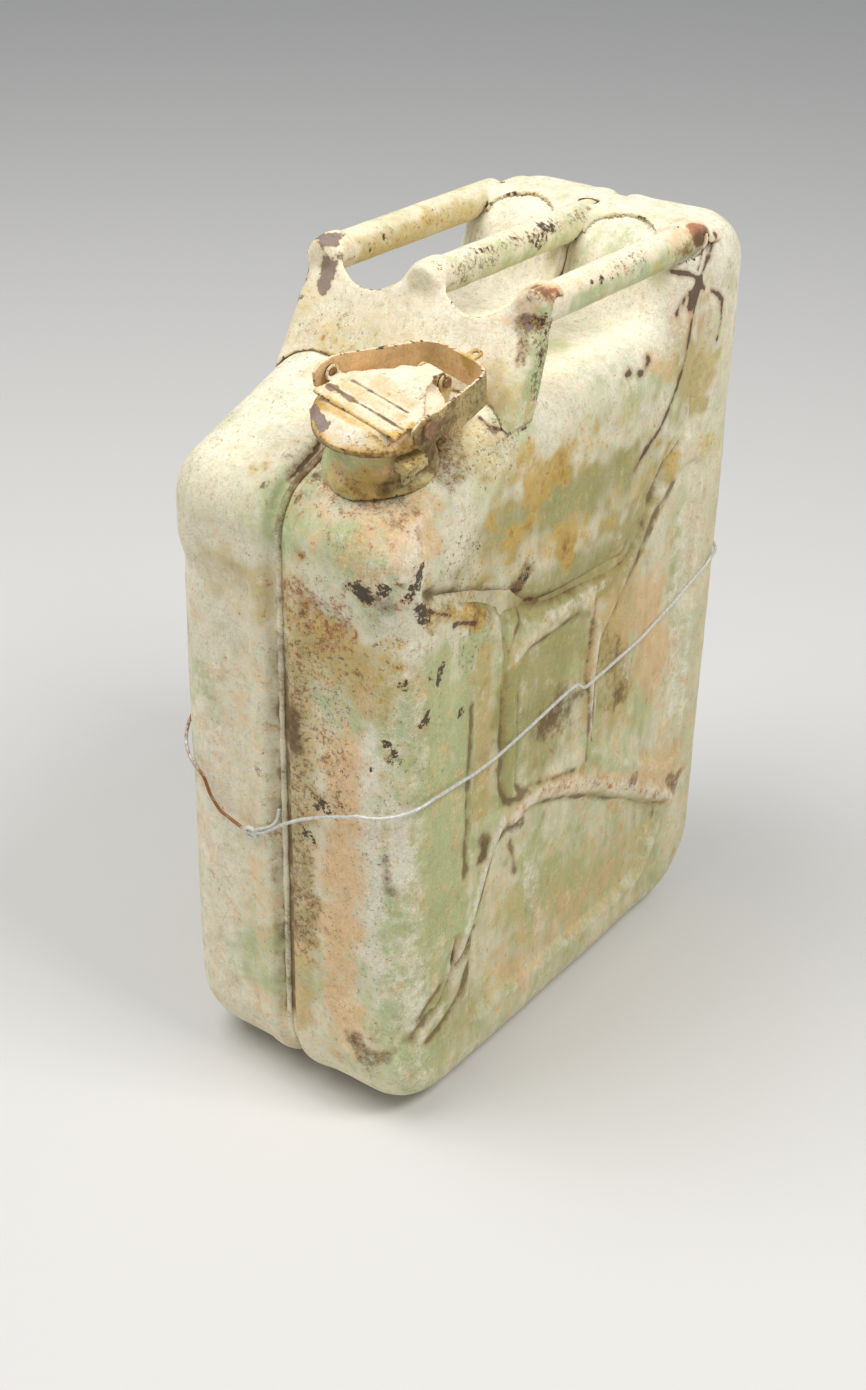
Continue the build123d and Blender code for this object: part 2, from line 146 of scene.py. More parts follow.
def make_camera():
    level = math.cos(CAMERA_DIP)
    back = Vector((math.sin(CAMERA_TURN) * level, -math.cos(CAMERA_TURN) * level, math.sin(CAMERA_DIP)))
    right = (-back).cross(Vector((0, 0, 1))).normalized()
    up = right.cross(-back)
    side = right * math.cos(CAMERA_ROLL) + up * math.sin(CAMERA_ROLL)
    top = up * math.cos(CAMERA_ROLL) - right * math.sin(CAMERA_ROLL)
    data = bpy.data.cameras.new("camera")
    data.sensor_fit = "VERTICAL"
    data.sensor_height = FILM_LONG_SIDE
    data.lens = LENS
    camera = bpy.data.objects.new("camera", data)
    turn = Matrix((side, top, back)).transposed().to_4x4()
    camera.matrix_world = Matrix.Translation(CAMERA_PLACE) @ turn
    bpy.context.scene.collection.objects.link(camera)
    bpy.context.scene.camera = camera


def area_light(name, place, size, power):
    data = bpy.data.lights.new(name, "AREA")
    data.size = size
    data.energy = power
    data.color = LAMP_COLOUR
    lamp = bpy.data.objects.new(name, data)
    lamp.location = place
    lamp.rotation_euler = (Vector(LAMP_TARGET) - Vector(place)).to_track_quat("-Z", "Y").to_euler()
    bpy.context.scene.collection.objects.link(lamp)


def make_studio():
    bpy.ops.mesh.primitive_plane_add(size=FLOOR_SIZE, location=(0, 0, 0))
    floor = bpy.context.object
    floor.name = "floor"
    paint = bpy.data.materials.new("floor_paper")
    paint.use_nodes = True
    shader = paint.node_tree.nodes["Principled BSDF"]
    shader.inputs["Base Color"].default_value = FLOOR_COLOUR
    shader.inputs["Roughness"].default_value = 0.9
    floor.data.materials.append(paint)
    world = bpy.data.worlds.new("world")
    world.use_nodes = True
    sky = world.node_tree.nodes["Background"]
    sky.inputs["Color"].default_value = SKY_COLOUR
    sky.inputs["Strength"].default_value = SKY_STRENGTH
    bpy.context.scene.world = world
    for name, place, size, power in LAMPS:
        area_light(name, place, size, power)
    bpy.context.scene.view_settings.view_transform = "Standard"


# Mesh helpers

def new_piece(name, vertices, faces):
    """A mesh object from places in millimetres."""
    mesh = bpy.data.meshes.new(name)
    mesh.from_pydata((np.asarray(vertices) * MM).tolist(), [], faces)
    mesh.validate()
    piece = bpy.data.objects.new(name, mesh)
    bpy.context.scene.collection.objects.link(piece)
    shade_smooth(piece)
    return piece


def shade_smooth(piece):
    for polygon in piece.data.polygons:
        polygon.use_smooth = True


def read_rows(items, key, width, kind=float):
    """One property of all of a mesh's vertices or edges, a row for each."""
    values = np.zeros(len(items) * width, kind)
    items.foreach_get(key, values)
    return values.reshape(-1, width)


def places(piece):
    """A mesh's vertices in millimetres."""
    return read_rows(piece.data.vertices, "co", 3) / MM


def put_places(piece, points):
    piece.data.vertices.foreach_set("co", (points * MM).ravel())
    piece.data.update()


def vertex_normals(piece):
    return read_rows(piece.data.vertices, "normal", 3)


def edge_ends(piece):
    return read_rows(piece.data.edges, "vertices", 2, np.int64)


def settle(piece):
    """Applies a piece's modifiers to its mesh."""
    depsgraph = bpy.context.evaluated_depsgraph_get()
    done = bpy.data.meshes.new_from_object(piece.evaluated_get(depsgraph))
    piece.modifiers.clear()
    piece.data = done


def ease(low, high, value):
    """Goes smoothly from 0 at low to 1 at high."""
    t = np.clip((value - low) / (high - low), 0.0, 1.0)
    return t * t * (3.0 - 2.0 * t)


def cloudy(points, scale, seed):
    """Soft noise between about -1 and 1 at places in millimetres; scale is the size of a cloud."""
    shift = Vector((seed * 17.3, seed * 5.1, seed * 9.7))
    return np.array([noise.noise(Vector(p) / scale + shift) for p in points]) * 2.0


# Outlines and lines

FAR = 1e9
TINY = 1e-12
OUTLINE_STEP = 6.0


def rounded(outline, spacing):
    """Points round an outline of a, b, radius, with their outward normals, as rows of a, b, na, nb."""
    rows = []
    count = len(outline)
    corners = []
    for i in range(count):
        corner = Vector(outline[i][:2])
        before = Vector(outline[i - 1][:2]) - corner
        after = Vector(outline[(i + 1) % count][:2]) - corner
        turn = math.pi - before.angle(after)
        reach = outline[i][2] * math.tan(turn / 2)
        way_in = -before.normalized()
        side = 1.0 if way_in.cross(after) > 0 else -1.0
        corners.append((corner + before.normalized() * reach, corner + after.normalized() * reach,
                        turn * side, Vector((way_in.y, -way_in.x)), outline[i][2] * side))
    for i in range(count):
        first, last, turn, outward, radius = corners[i]
        centre = first - outward * radius
        steps = max(4, round(abs(radius * turn) / spacing))
        for k in range(steps + 1):
            normal = Matrix.Rotation(turn * k / steps, 2) @ outward
            point = centre + normal * radius
            rows.append((*point, *normal))
        run = corners[(i + 1) % count][0] - last
        steps = max(1, round(run.length / spacing))
        for k in range(1, steps):
            rows.append((*(last + run * k / steps), *normal))
    return np.array(rows)


def border_distance(points, border):
    """Distance of flat places from a closed border, positive inside it."""
    nearest = np.full(len(points), FAR)
    inside = np.zeros(len(points), bool)
    a, b = points.T
    for (a0, b0), (a1, b1) in zip(border, np.roll(border, -1, axis=0)):
        run_a, run_b = a1 - a0, b1 - b0
        share = np.clip(((a - a0) * run_a + (b - b0) * run_b) / (run_a ** 2 + run_b ** 2 + TINY), 0, 1)
        nearest = np.minimum(nearest, np.hypot(a - a0 - share * run_a, b - b0 - share * run_b))
        if run_b:
            inside ^= ((b0 > b) != (b1 > b)) & (a < a0 + (b - b0) / run_b * run_a)
    return np.where(inside, nearest, -nearest)


def inside_distance(points, outline, radius):
    """Distance of flat places from an outline with rounded corners, positive inside it."""
    return border_distance(points, rounded([(*corner, radius) for corner in outline], OUTLINE_STEP)[:, :2])


def line_distance(points, line):
    """Distance of places from a bent line of places."""
    nearest = np.full(len(points), FAR)
    line = np.array(line, float)
    for start, run in zip(line, np.diff(line, axis=0)):
        share = np.clip((points - start) @ run / max(run @ run, 1e-9), 0, 1)
        nearest = np.minimum(nearest, np.linalg.norm(points - start - share[:, None] * run, axis=1))
    return nearest


def travel_along(line):
    """How far along a line each of its places lies."""
    return np.concatenate(([0], np.cumsum(np.linalg.norm(np.diff(line, axis=0), axis=1))))


def places_at(line, held, wanted):
    """Places on a line for wanted values, between the values that the line's own places hold."""
    return np.column_stack([np.interp(wanted, held, line[:, k]) for k in range(3)])


def soften(line, rounds, closed=False):
    """Moves each place of a line towards its neighbours; an open line keeps its ends."""
    for k in range(rounds):
        eased = (np.roll(line, 1, axis=0) + 2 * line + np.roll(line, -1, axis=0)) / 4
        if not closed:
            eased[[0, -1]] = line[[0, -1]]
        line = eased
    return line


# Pressed shape of the broad sides: outlines in y, z

UPPER_FIELD = [
    (-150, 345), (-103, 326), (-50, 298), (45, 292), (108, 358), (122, 440), (122, 520), (-150, 520),
]
FIELD_CORNER = 14.0
FIELD_SWELL = 38.0
CREASE_DEPTH = 4.6
CREASE_WIDTH = 8.0
RIB_DEPTH = 0.8

# Where the pressing fades out towards a broad side's edge, in shares of the edge's rounding
PRESSING_FADE = (0.35 * EDGE_ROUND, 1.1 * EDGE_ROUND)

# Columns: depth, corner radius, width of the slope, outline
PANELS = [
    (3.4, 11, 5.0, [(-62, 181), (12, 176), (14, 274), (-62, 274)]),
    (3.6, 8, 6.0, [(23, 180), (70, 144), (128, 112), (128, 330), (108, 330), (28, 252)]),
    (4.2, 14, 6.0, [
        (-100, 44), (92, 42), (118, 86), (60, 118), (-5, 152), (-38, 164), (-72, 162), (-97, 108),
    ]),
    (2.8, 8, 5.0, [(-103, 140), (-81, 182), (-81, 292), (-103, 304)]),
]

# Sharp folds and raised beads of the pressing, as they lie in the photograph, in y, z
FIELD_FOLD = [(-149, 346), (-128, 337), (-105, 328), (-83, 319), (-63, 308), (-38, 299), (-24, 296), (4, 294),
              (30, 293), (46, 291), (57, 301), (71, 321), (88, 338), (97, 345), (103, 352), (108, 361)]
ARM_FOLD = [(95, 322), (87, 316), (76, 310), (69, 300), (59, 287), (48, 272), (38, 260), (27, 249), (22, 230),
            (20, 205), (22, 180)]
FRAME_FOLD = [(-82, 310), (-78, 292), (-75, 280), (-77, 267), (-78, 242), (-77, 196), (-72, 184), (-58, 179),
              (-45, 178)]
PANEL_FOLD = [(-2, 277), (-25, 275), (-45, 275), (-56, 272), (-60, 264), (-60, 225), (-60, 196), (-57, 183),
              (-48, 180), (-27, 177), (1, 169)]
PANEL_REAR_FOLD = [(16, 278), (14, 252), (12, 228), (15, 212), (16, 184), (15, 170)]
LOWER_FOLD = [(-48, 165), (-37, 165), (-5, 153), (25, 139), (59, 119), (96, 95), (118, 88)]
CORNER_FOLD = [(-72, 163), (-79, 152), (-84, 145), (-90, 131), (-95, 119), (-100, 108), (-103, 97),
               (-110, 92)]
EDGE_FOLD = [(-114, 112), (-117, 101), (-116, 91), (-121, 85), (-128, 78), (-137, 75), (-146, 70), (-153, 63)]
EDGE_FOLD_ABOVE = [(-128, 86), (-137, 83), (-144, 79), (-150, 74)]
EDGE_FOLD_BELOW = [(-98, 89), (-103, 81), (-107, 73), (-114, 66), (-127, 59), (-141, 54)]
UPRIGHT_FOLD = [(-107, 262), (-109, 218), (-109, 152)]
FRAME_BEAD = [(-72, 188), (-71, 225), (-70, 262), (-64, 279), (-40, 284), (-4, 285), (10, 281)]
REAR_BEAD = [(19, 262), (18, 232), (19, 190)]
ARM_BEAD = [(-62, 168), (-50, 172), (-32, 172), (-4, 163), (31, 147), (69, 125), (110, 100), (124, 88)]
CORNER_BEAD = [(-74, 172), (-86, 156), (-94, 138), (-100, 122), (-106, 108), (-112, 96)]

# Columns: depth, half width, line. A bead has a depth below zero
FOLDS = [
    (1.8, 5.0, FIELD_FOLD), (1.6, 5.0, ARM_FOLD), (2.0, 4.0, FRAME_FOLD), (0.9, 3.0, PANEL_FOLD),
    (0.7, 3.0, PANEL_REAR_FOLD), (1.3, 5.0, LOWER_FOLD), (1.8, 5.0, CORNER_FOLD), (2.2, 5.0, EDGE_FOLD),
    (1.4, 4.0, EDGE_FOLD_ABOVE), (1.6, 5.0, EDGE_FOLD_BELOW), (1.0, 4.0, UPRIGHT_FOLD),
    (-1.2, 5.5, FRAME_BEAD), (-1.2, 5.0, REAR_BEAD), (-1.5, 9.0, ARM_BEAD), (-1.4, 7.0, CORNER_BEAD),
]

# Dents. Columns: x, y, z, radius, depth
DENTS = [
    (80, -160, 62, 26, 3.5),
    (60, -172, 95, 30, 2.5),
    (82, -118, 92, 24, 2.5),
    (40, -172, 270, 34, 1.6),
    (82, 60, 60, 40, 2.0),
    (82, 96, 250, 34, 1.6),
    (82, -10, 380, 40, 1.2),
    (-82, 20, 130, 45, 2.5),
    (-82, -90, 300, 30, 2.0),
    (-60, 172, 300, 30, 2.2),
    (-20, 60, 0, 40, 1.0),
]
DENT_SHARPNESS = 1.6

# The narrow front is a step deeper under the shoulder, with a groove at the step. In z, then depths
FRONT_STEP = (345, 322)
FRONT_STEP_DEPTH = 2.2
FRONT_GROOVE = 326
FRONT_GROOVE_WIDTH = 9.0
FRONT_GROOVE_DEPTH = 1.5

# Unevenness of the sheet. A wave is a height and a size
SHEET_SAG = 0.55
WIDE_WAVE = (0.5, 62.0)
SMALL_WAVE = (0.12, 14.0)


def side_depth(y, z):
    """How far the pressing lies under the broad side's plane."""
    flat = np.column_stack((y, z))
    field = inside_distance(flat, UPPER_FIELD, FIELD_CORNER)
    swell = np.clip(1.0 - field / FIELD_SWELL, 0, 1) ** 2 * CREASE_DEPTH
    below = RIB_DEPTH + (CREASE_DEPTH - RIB_DEPTH) * (1.0 - ease(0.0, CREASE_WIDTH, -field))
    depth = np.where(field > 0, swell, below)
    for panel_depth, radius, slope, outline in PANELS:
        distance = inside_distance(flat, outline, radius)
        depth = depth + (panel_depth - RIB_DEPTH) * ease(-slope / 2, slope / 2, distance)
    for deep, half_width, line in FOLDS:
        depth = depth + deep * ease(half_width, 0.0, line_distance(flat, line))
    margin = np.minimum(HALF_LENGTH - np.abs(y), z)
    return depth * ease(*PRESSING_FADE, margin)


def body_depth(points, side):
    """How far the whole skin lies under the plain form, in millimetres."""
    x, y, z = points.T
    depth = side_depth(y, z) * ease(HALF_WIDTH - 9.0, HALF_WIDTH - 2.0, np.abs(x))
    front = ease(-HALF_LENGTH + 30, -HALF_LENGTH + 4, y)
    groove = np.exp(-((z - FRONT_GROOVE) / FRONT_GROOVE_WIDTH) ** 2)
    waist = FRONT_STEP_DEPTH * ease(*FRONT_STEP, z) + FRONT_GROOVE_DEPTH * groove
    depth += waist * front * ease(14, 24, np.abs(x))
    for dent_x, dent_y, dent_z, radius, deep in DENTS:
        away = np.linalg.norm(points - (dent_x, dent_y, dent_z), axis=1)
        depth += deep * np.exp(-(away / radius * DENT_SHARPNESS) ** 2)
    fade = ease(8, 22, np.abs(x))
    for (height, size), seed, sag in ((WIDE_WAVE, 3 + side, SHEET_SAG), (SMALL_WAVE, 9 + side, 0.0)):
        depth += (sag + height * cloudy(points, size, seed)) * fade
    return depth


SKIN_SPACING = {-1: 2.4, 1: 1.75}
OUTER_ARC_STEPS = 18
INNER_ARC_STEPS = 4
INNER_FILL = 30.0
INNER_INSET = SHEET + 0.6
FILL_MARGIN = 0.6


def half_skin(side, spacing, inset, arc_steps, fill_spacing):
    """One dented skin of a half body: vertices, faces turned as on the right, and the seam's count."""
    ring = rounded(SIDE_OUTLINE, spacing)
    count = len(ring)
    section = [(x, depth + inset, 0.0) for x, depth in GROOVE_SECTION]
    flat_end = HALF_WIDTH - EDGE_ROUND
    flat_run = flat_end - GROOVE_SECTION[-1][0]
    flat_steps = max(2, round(flat_run / fill_spacing))
    for k in range(1, flat_steps + 1):
        section.append((section[-1][0] + flat_run / flat_steps, inset, 0.0))
    radius = EDGE_ROUND - inset
    for k in range(1, arc_steps + 1):
        angle = math.pi / 2 * k / arc_steps
        tilt = math.sin(angle)
        section.append((flat_end + radius * tilt, EDGE_ROUND - radius * math.cos(angle), tilt))
    vertices, normals = [], []
    for x, depth, tilt in section:
        flat, outward = ring[:, :2], ring[:, 2:]
        vertices.append(np.column_stack((np.full(count, x * side), flat - outward * depth)))
        normals.append(np.column_stack((np.full(count, tilt * side), outward * math.sqrt(1 - tilt * tilt))))
    vertices, normals = np.vstack(vertices), np.vstack(normals)
    last = (len(section) - 1) * count
    faces = []
    for row in range(0, last, count):
        for i in range(count):
            a, b = row + i, row + (i + 1) % count
            faces.append((a, b, b + count, a + count))

    border = vertices[last:, 1:]
    along, up = np.arange(-HALF_LENGTH, HALF_LENGTH, fill_spacing), np.arange(0, TOP, fill_spacing)
    grid = np.column_stack([values.ravel() for values in np.meshgrid(along, up)])
    grid[:, 0] += (np.floor(grid[:, 1] / fill_spacing + 0.5) % 2) * fill_spacing / 2
    grid = grid[border_distance(grid, border) > fill_spacing * FILL_MARGIN]
    flat = [Vector(place) for place in np.vstack((border, grid))]
    filled = geometry.delaunay_2d_cdt(flat, [], [list(range(count))], 1, 1e-5)
    index = [last + source[0] if source and source[0] < count else None for source in filled[3]]
    extra = []
    for k, vertex in enumerate(filled[0]):
        if index[k] is None:
            index[k] = len(vertices) + len(extra)
            extra.append((HALF_WIDTH * side - inset * side, vertex.x, vertex.y))
    vertices = np.vstack((vertices, extra))
    normals = np.vstack((normals, np.tile((float(side), 0, 0), (len(extra), 1))))
    faces += [tuple(index[k] for k in face) for face in filled[2]]
    return vertices - normals * body_depth(vertices, side)[:, None], faces, count


def body_shell(name, side):
    """A half body with a fine outer skin, closed by a coarse inner skin."""
    spacing = SKIN_SPACING[side]
    outer, faces, count = half_skin(side, spacing, 0.0, OUTER_ARC_STEPS, spacing)
    inner, inner_faces, count = half_skin(side, spacing, INNER_INSET, INNER_ARC_STEPS, INNER_FILL)
    start = len(outer)
    faces += [tuple(start + k for k in face[::-1]) for face in inner_faces]
    faces += [(i, start + i, start + (i + 1) % count, (i + 1) % count) for i in range(count)]
    if side < 0:
        faces = [face[::-1] for face in faces]
    return new_piece(name, np.vstack((outer, inner)), faces)


# Shader graphs

class Graph:
    """Builds one material's node tree in a few words."""

    def __init__(self, name):
        self.material = bpy.data.materials.new(name)
        self.material.use_nodes = True
        self.tree = self.material.node_tree
        self.tree.nodes.clear()
        self.shader = self.node("ShaderNodeBsdfPrincipled")
        output = self.node("ShaderNodeOutputMaterial")
        self.link(self.shader.outputs["BSDF"], output.inputs["Surface"])
        self.place = self.node("ShaderNodeTexCoord").outputs["Object"]

    def node(self, kind):
        return self.tree.nodes.new(kind)

    def link(self, source, target):
        self.tree.links.new(source, target)

    def put(self, value, target):
        if isinstance(value, bpy.types.NodeSocket):
            self.link(value, target)
        else:
            target.default_value = value

    def noise(self, scale, detail, rough, stretch=(1, 1, 1), shift=0.0):
        """Noise between 0 and 1; scale is in clouds per metre."""
        mapping = self.node("ShaderNodeMapping")
        self.link(self.place, mapping.inputs["Vector"])
        mapping.inputs["Scale"].default_value = stretch
        mapping.inputs["Location"].default_value = (shift, shift * 0.7, shift * 0.3)
        texture = self.node("ShaderNodeTexNoise")
        self.link(mapping.outputs["Vector"], texture.inputs["Vector"])
        for key, value in (("Scale", scale), ("Detail", detail), ("Roughness", rough)):
            texture.inputs[key].default_value = value
        return texture.outputs["Fac"]

    def attribute(self, name):
        node = self.node("ShaderNodeAttribute")
        node.attribute_name = name
        return node.outputs["Fac"]

    def math(self, operation, a, b=0.0, clamp=False):
        node = self.node("ShaderNodeMath")
        node.operation = operation
        node.use_clamp = clamp
        self.put(a, node.inputs[0])
        self.put(b, node.inputs[1])
        return node.outputs[0]

    def add(self, *values):
        total = values[0]
        for value in values[1:]:
            total = self.math("ADD", total, value)
        return total

    def times(self, a, b):
        return self.math("MULTIPLY", a, b)

    def coat(self, below, cover, strength, paint):
        """Paint over a colour as far as the cover says."""
        return self.mix(self.times(cover, strength), below, paint)

    def map_range(self, value, kind, *limits):
        node = self.node("ShaderNodeMapRange")
        node.interpolation_type = kind
        self.put(value, node.inputs["Value"])
        for key, limit in zip(("From Min", "From Max", "To Min", "To Max"), limits):
            node.inputs[key].default_value = limit
        return node.outputs["Result"]

    def step(self, value, low, high):
        """Goes smoothly from 0 at low to 1 at high."""
        return self.map_range(value, "SMOOTHSTEP", low, high)

    def span(self, value, low, high):
        """Stretches noise, which keeps mostly between 0.25 and 0.75, to run from low to high."""
        return self.map_range(value, "LINEAR", 0.25, 0.75, low, high)

    def mix(self, share, a, b, blend="MIX"):
        node = self.node("ShaderNodeMix")
        node.data_type = "RGBA"
        node.blend_type = blend
        self.put(share, node.inputs[0])
        self.put(a, node.inputs[6])
        self.put(b, node.inputs[7])
        return node.outputs[2]

    def bump(self, height, strength, distance):
        node = self.node("ShaderNodeBump")
        node.inputs["Strength"].default_value = strength
        node.inputs["Distance"].default_value = distance
        self.link(height, node.inputs["Height"])
        return node.outputs["Normal"]


def tone(red, green, blue):
    """A linear colour from screen values of 0 to 255."""
    parts = [value / 255 for value in (red, green, blue)]
    return tuple(v / 12.92 if v <= 0.04045 else ((v + 0.055) / 1.055) ** 2.4 for v in parts) + (1.0,)


CREAM = tone(236, 228, 200)
BONE_AND_HIGHLIGHT = tone(245, 239, 220)
SAGE_AND_SHADE = tone(188, 200, 146)
TAN = tone(204, 182, 120)
PEACH = tone(236, 194, 144)
OLIVE_AND_SHADE = tone(160, 150, 84)
AMBER = tone(206, 170, 84)
REDDISH = tone(168, 100, 62)
RUST = tone(150, 94, 40)
DIRT_AND_SHADE = tone(106, 80, 50)
PRIMER = tone(128, 108, 108)
BARE = tone(56, 52, 44)
FRECKLE = tone(112, 78, 54)
CHIP_RIM = tone(190, 142, 84)
CREASE_RIM = tone(146, 122, 70)
CREASE_SOIL_AND_SHADE = tone(96, 74, 44)
SCRATCH_RIM = tone(160, 118, 70)
SCRATCH_SOIL = tone(80, 56, 38)

# Small flecks all over the paint. Columns: noise's scale and shift, step's low and high, strength, colour
FLECKS = [
    (84, 17.4, 0.56, 0.72, 0.40, tone(214, 164, 100)),
    (120, 19.8, 0.58, 0.74, 0.50, tone(156, 124, 70)),
    (210, 11.1, 0.56, 0.70, 0.45, tone(226, 170, 108)),
    (240, 13.7, 0.54, 0.68, 0.50, tone(176, 194, 136)),
    (300, 15.2, 0.60, 0.70, 0.32, tone(150, 120, 72)),
]


def old_paint(name, base=CREAM, second=SAGE_AND_SHADE, mottle=0.5, dirt=0.0):
    """Several coats of old matt paint, stained, chipped and rusted where the vertices say so, with painted shade
    and painted highlights where they say so too.
    """
    g = Graph(name)
    broad = g.noise(17, 6, 0.62, shift=1.3)
    runs = g.noise(42, 6, 0.66, stretch=(1, 1, 0.22), shift=4.1)
    clouds = g.noise(52, 6, 0.7, shift=7.7)
    brushed = g.noise(260, 5, 0.7, stretch=(1, 1, 0.35), shift=6.6)
    grit = g.noise(330, 5, 0.75, shift=2.9)
    fine = g.noise(900, 3, 0.6, shift=5.5)
    rag = g.add(g.span(grit, -0.11, 0.11), g.span(fine, -0.08, 0.08), g.span(brushed, -0.03, 0.03))
    ragged_runs = g.add(runs, rag)
    ragged_clouds = g.add(clouds, rag)

    def layer(below, field, kind, share, low, high, strength, paint):
        """Paint that shows where noise and the vertices' values, wear and painted light, add up to enough."""
        cover = g.step(g.add(field, g.times(g.attribute(kind), share)), low, high)
        return g.coat(below, cover, strength, paint)

    mottled = g.step(g.add(broad, rag), 0.58 - 0.16 * mottle, 0.76 - 0.10 * mottle)
    colour = g.mix(mottled, base, second)
    # Green: a sage tint, which under the tubes is painted shade.
    colour = layer(colour, ragged_runs, "green", 0.36, 0.54, 0.82, 0.9, SAGE_AND_SHADE)
    colour = layer(colour, ragged_clouds, "tan", 0.36, 0.54, 0.86, 0.85, TAN)
    warm = g.add(g.noise(64, 6, 0.7, shift=9.2), rag)
    colour = layer(colour, warm, "peach", 0.30, 0.56, 0.82, 0.8, PEACH)
    # Olive veil: an olive tint, which along the upper field's lower edge and on the bail's outside is painted
    # shade.
    veil = g.math("MULTIPLY", g.attribute("olive"), g.span(ragged_runs, 0.2, 1.2), clamp=True)
    colour = g.coat(colour, veil, 0.8, OLIVE_AND_SHADE)
    # Bone: paler paint, which on ridges, beads, convex bends and the tubes' tops is a painted highlight.
    patchy = g.add(g.times(g.add(runs, clouds), 0.5), g.times(rag, 0.25))
    patchy = g.add(patchy, g.span(g.noise(150, 5, 0.65, shift=12.6), -0.12, 0.12))
    colour = layer(colour, patchy, "bone", 0.24, 0.52, 0.84, 0.75, BONE_AND_HIGHLIGHT)
    for scale, shift, low, high, strength, paint in FLECKS:
        flecks = g.noise(scale, 5, 0.78, stretch=(1, 1, 0.6), shift=shift)
        colour = g.coat(colour, g.step(flecks, low, high), strength, paint)

    spots = g.add(g.noise(210, 5, 0.7, shift=4.7), rag)
    stain = g.add(g.times(ragged_clouds, 0.55), g.times(spots, 0.45))
    colour = layer(colour, stain, "amber", 0.30, 0.58, 0.86, 0.85, AMBER)
    colour = layer(colour, spots, "amber", 0.16, 0.70, 0.90, 0.45, RUST)
    colour = layer(colour, spots, "rust", 0.36, 0.60, 0.84, 0.85, REDDISH)

    # Brown coat of real dirt and painted shade: the vertices put the painted shade in hollows, creases, under
    # parts and where shadows fall.
    soil_and_shade = g.add(g.times(ragged_clouds, 0.5), g.times(spots, 0.5))
    soiled_and_shaded = g.step(g.add(soil_and_shade, g.add(g.times(g.attribute("dirt"), 0.40), dirt)), 0.58, 0.98)
    colour = g.coat(colour, soiled_and_shaded, 0.9, DIRT_AND_SHADE)

    freckles = g.add(g.noise(360, 6, 0.8, shift=3.3), g.times(g.attribute("specks"), 0.11))
    colour = g.coat(colour, g.step(freckles, 0.62, 0.70), 0.75, FRECKLE)

    flaked = g.add(g.noise(130, 6, 0.72, shift=6.1), g.times(g.attribute("primer"), 0.32))
    bared = g.step(flaked, 0.76, 0.81)
    colour = g.coat(colour, g.step(flaked, 0.68, 0.76), 0.55, TAN)
    colour = g.coat(colour, bared, 0.85, PRIMER)

    shade = g.add(g.span(fine, -0.16, 0.16), g.span(grit, -0.20, 0.20), g.span(brushed, -0.06, 0.06),
                  g.span(clouds, -0.12, 0.12))
    colour = g.mix(1.0, colour, g.add(shade, 1.0), "MULTIPLY")

    grain = g.noise(300, 5, 0.72, shift=8.4)
    chipped = g.add(grain, g.times(g.attribute("chips"), g.span(grain, 0.12, 0.54)))
    holes = g.step(chipped, 0.75, 0.775)
    colour = g.coat(colour, g.step(chipped, 0.68, 0.74), 0.6, CHIP_RIM)
    colour = g.coat(colour, holes, 0.9, BARE)

    # Crease lines: dirt in the folds and painted shade where the pressing steps in.
    wobble = g.add(g.span(g.noise(90, 3, 0.5, shift=1.9), -3.5, 3.5), g.span(grit, -0.9, 0.9))
    fold = g.add(g.attribute("crease"), wobble)
    colour = g.coat(colour, g.step(fold, 0.5, 7.0), 0.55, CREASE_RIM)
    colour = g.coat(colour, g.step(fold, 4.8, 7.6), 0.6, CREASE_SOIL_AND_SHADE)
    near = g.add(g.attribute("scratch"), g.times(wobble, 0.6))
    scratch = g.step(near, 5.6, 6.9)
    colour = g.coat(colour, g.step(near, 2.0, 6.5), 0.45, SCRATCH_RIM)
    colour = g.coat(colour, scratch, 0.85, SCRATCH_SOIL)

    g.link(colour, g.shader.inputs["Base Color"])
    wear = g.math("MAXIMUM", holes, bared)
    rough = g.add(g.span(grit, 0.54, 0.70), g.times(soiled_and_shaded, 0.2))
    g.link(g.math("SUBTRACT", rough, g.times(wear, 0.12), clamp=True), g.shader.inputs["Roughness"])
    g.shader.inputs["Specular IOR Level"].default_value = 0.38
    coats = g.add(g.times(fine, 0.25), g.times(grit, 0.7), g.times(clouds, 0.8))
    gone = g.add(g.times(wear, 0.8), g.times(scratch, 0.5))
    g.link(g.bump(g.math("SUBTRACT", coats, gone), 0.7, 0.0009), g.shader.inputs["Normal"])
    return g.material


def worn_steel(name, base, second, metal, clean=0.0):
    """Dull bare steel with rust freckles and a fine grain."""
    g = Graph(name)
    clouds = g.noise(60, 5, 0.6, shift=2.0)
    grit = g.noise(500, 4, 0.7, shift=3.0)
    rusted = g.add(g.times(g.attribute("amber"), 0.3), g.times(grit, 0.4))
    rusty = g.step(g.add(clouds, rusted), 0.62 + clean, 0.85 + clean)
    colour = g.mix(g.span(grit, 0.0, 1.0), base, second)
    g.link(g.mix(rusty, colour, RUST), g.shader.inputs["Base Color"])
    g.link(g.math("SUBTRACT", metal, g.times(rusty, metal)), g.shader.inputs["Metallic"])
    g.link(g.add(g.times(grit, 0.3), 0.3), g.shader.inputs["Roughness"])
    g.link(g.bump(g.add(grit, clouds), 0.3, 0.0004), g.shader.inputs["Normal"])
    return g.material


def gasket_rubber():
    """Dusty black rubber."""
    g = Graph("gasket_rubber")
    dust = g.step(g.noise(120, 5, 0.6, shift=1.0), 0.45, 0.75)
    g.link(g.coat(tone(38, 36, 35), dust, 0.3, tone(110, 98, 84)), g.shader.inputs["Base Color"])
    g.link(g.add(g.times(dust, 0.2), 0.6), g.shader.inputs["Roughness"])
    g.link(g.bump(g.noise(700, 3, 0.6), 0.3, 0.0003), g.shader.inputs["Normal"])
    return g.material


# Surface wear and painted light

def spread(values, ends, rounds):
    """Averages a value over its neighbours, several times."""
    a, b = ends.T
    count = len(values)
    degree = np.bincount(a, minlength=count) + np.bincount(b, minlength=count) + 1
    for k in range(rounds):
        total = np.bincount(a, values[b], count) + np.bincount(b, values[a], count)
        values = (total + values) / degree
    return values


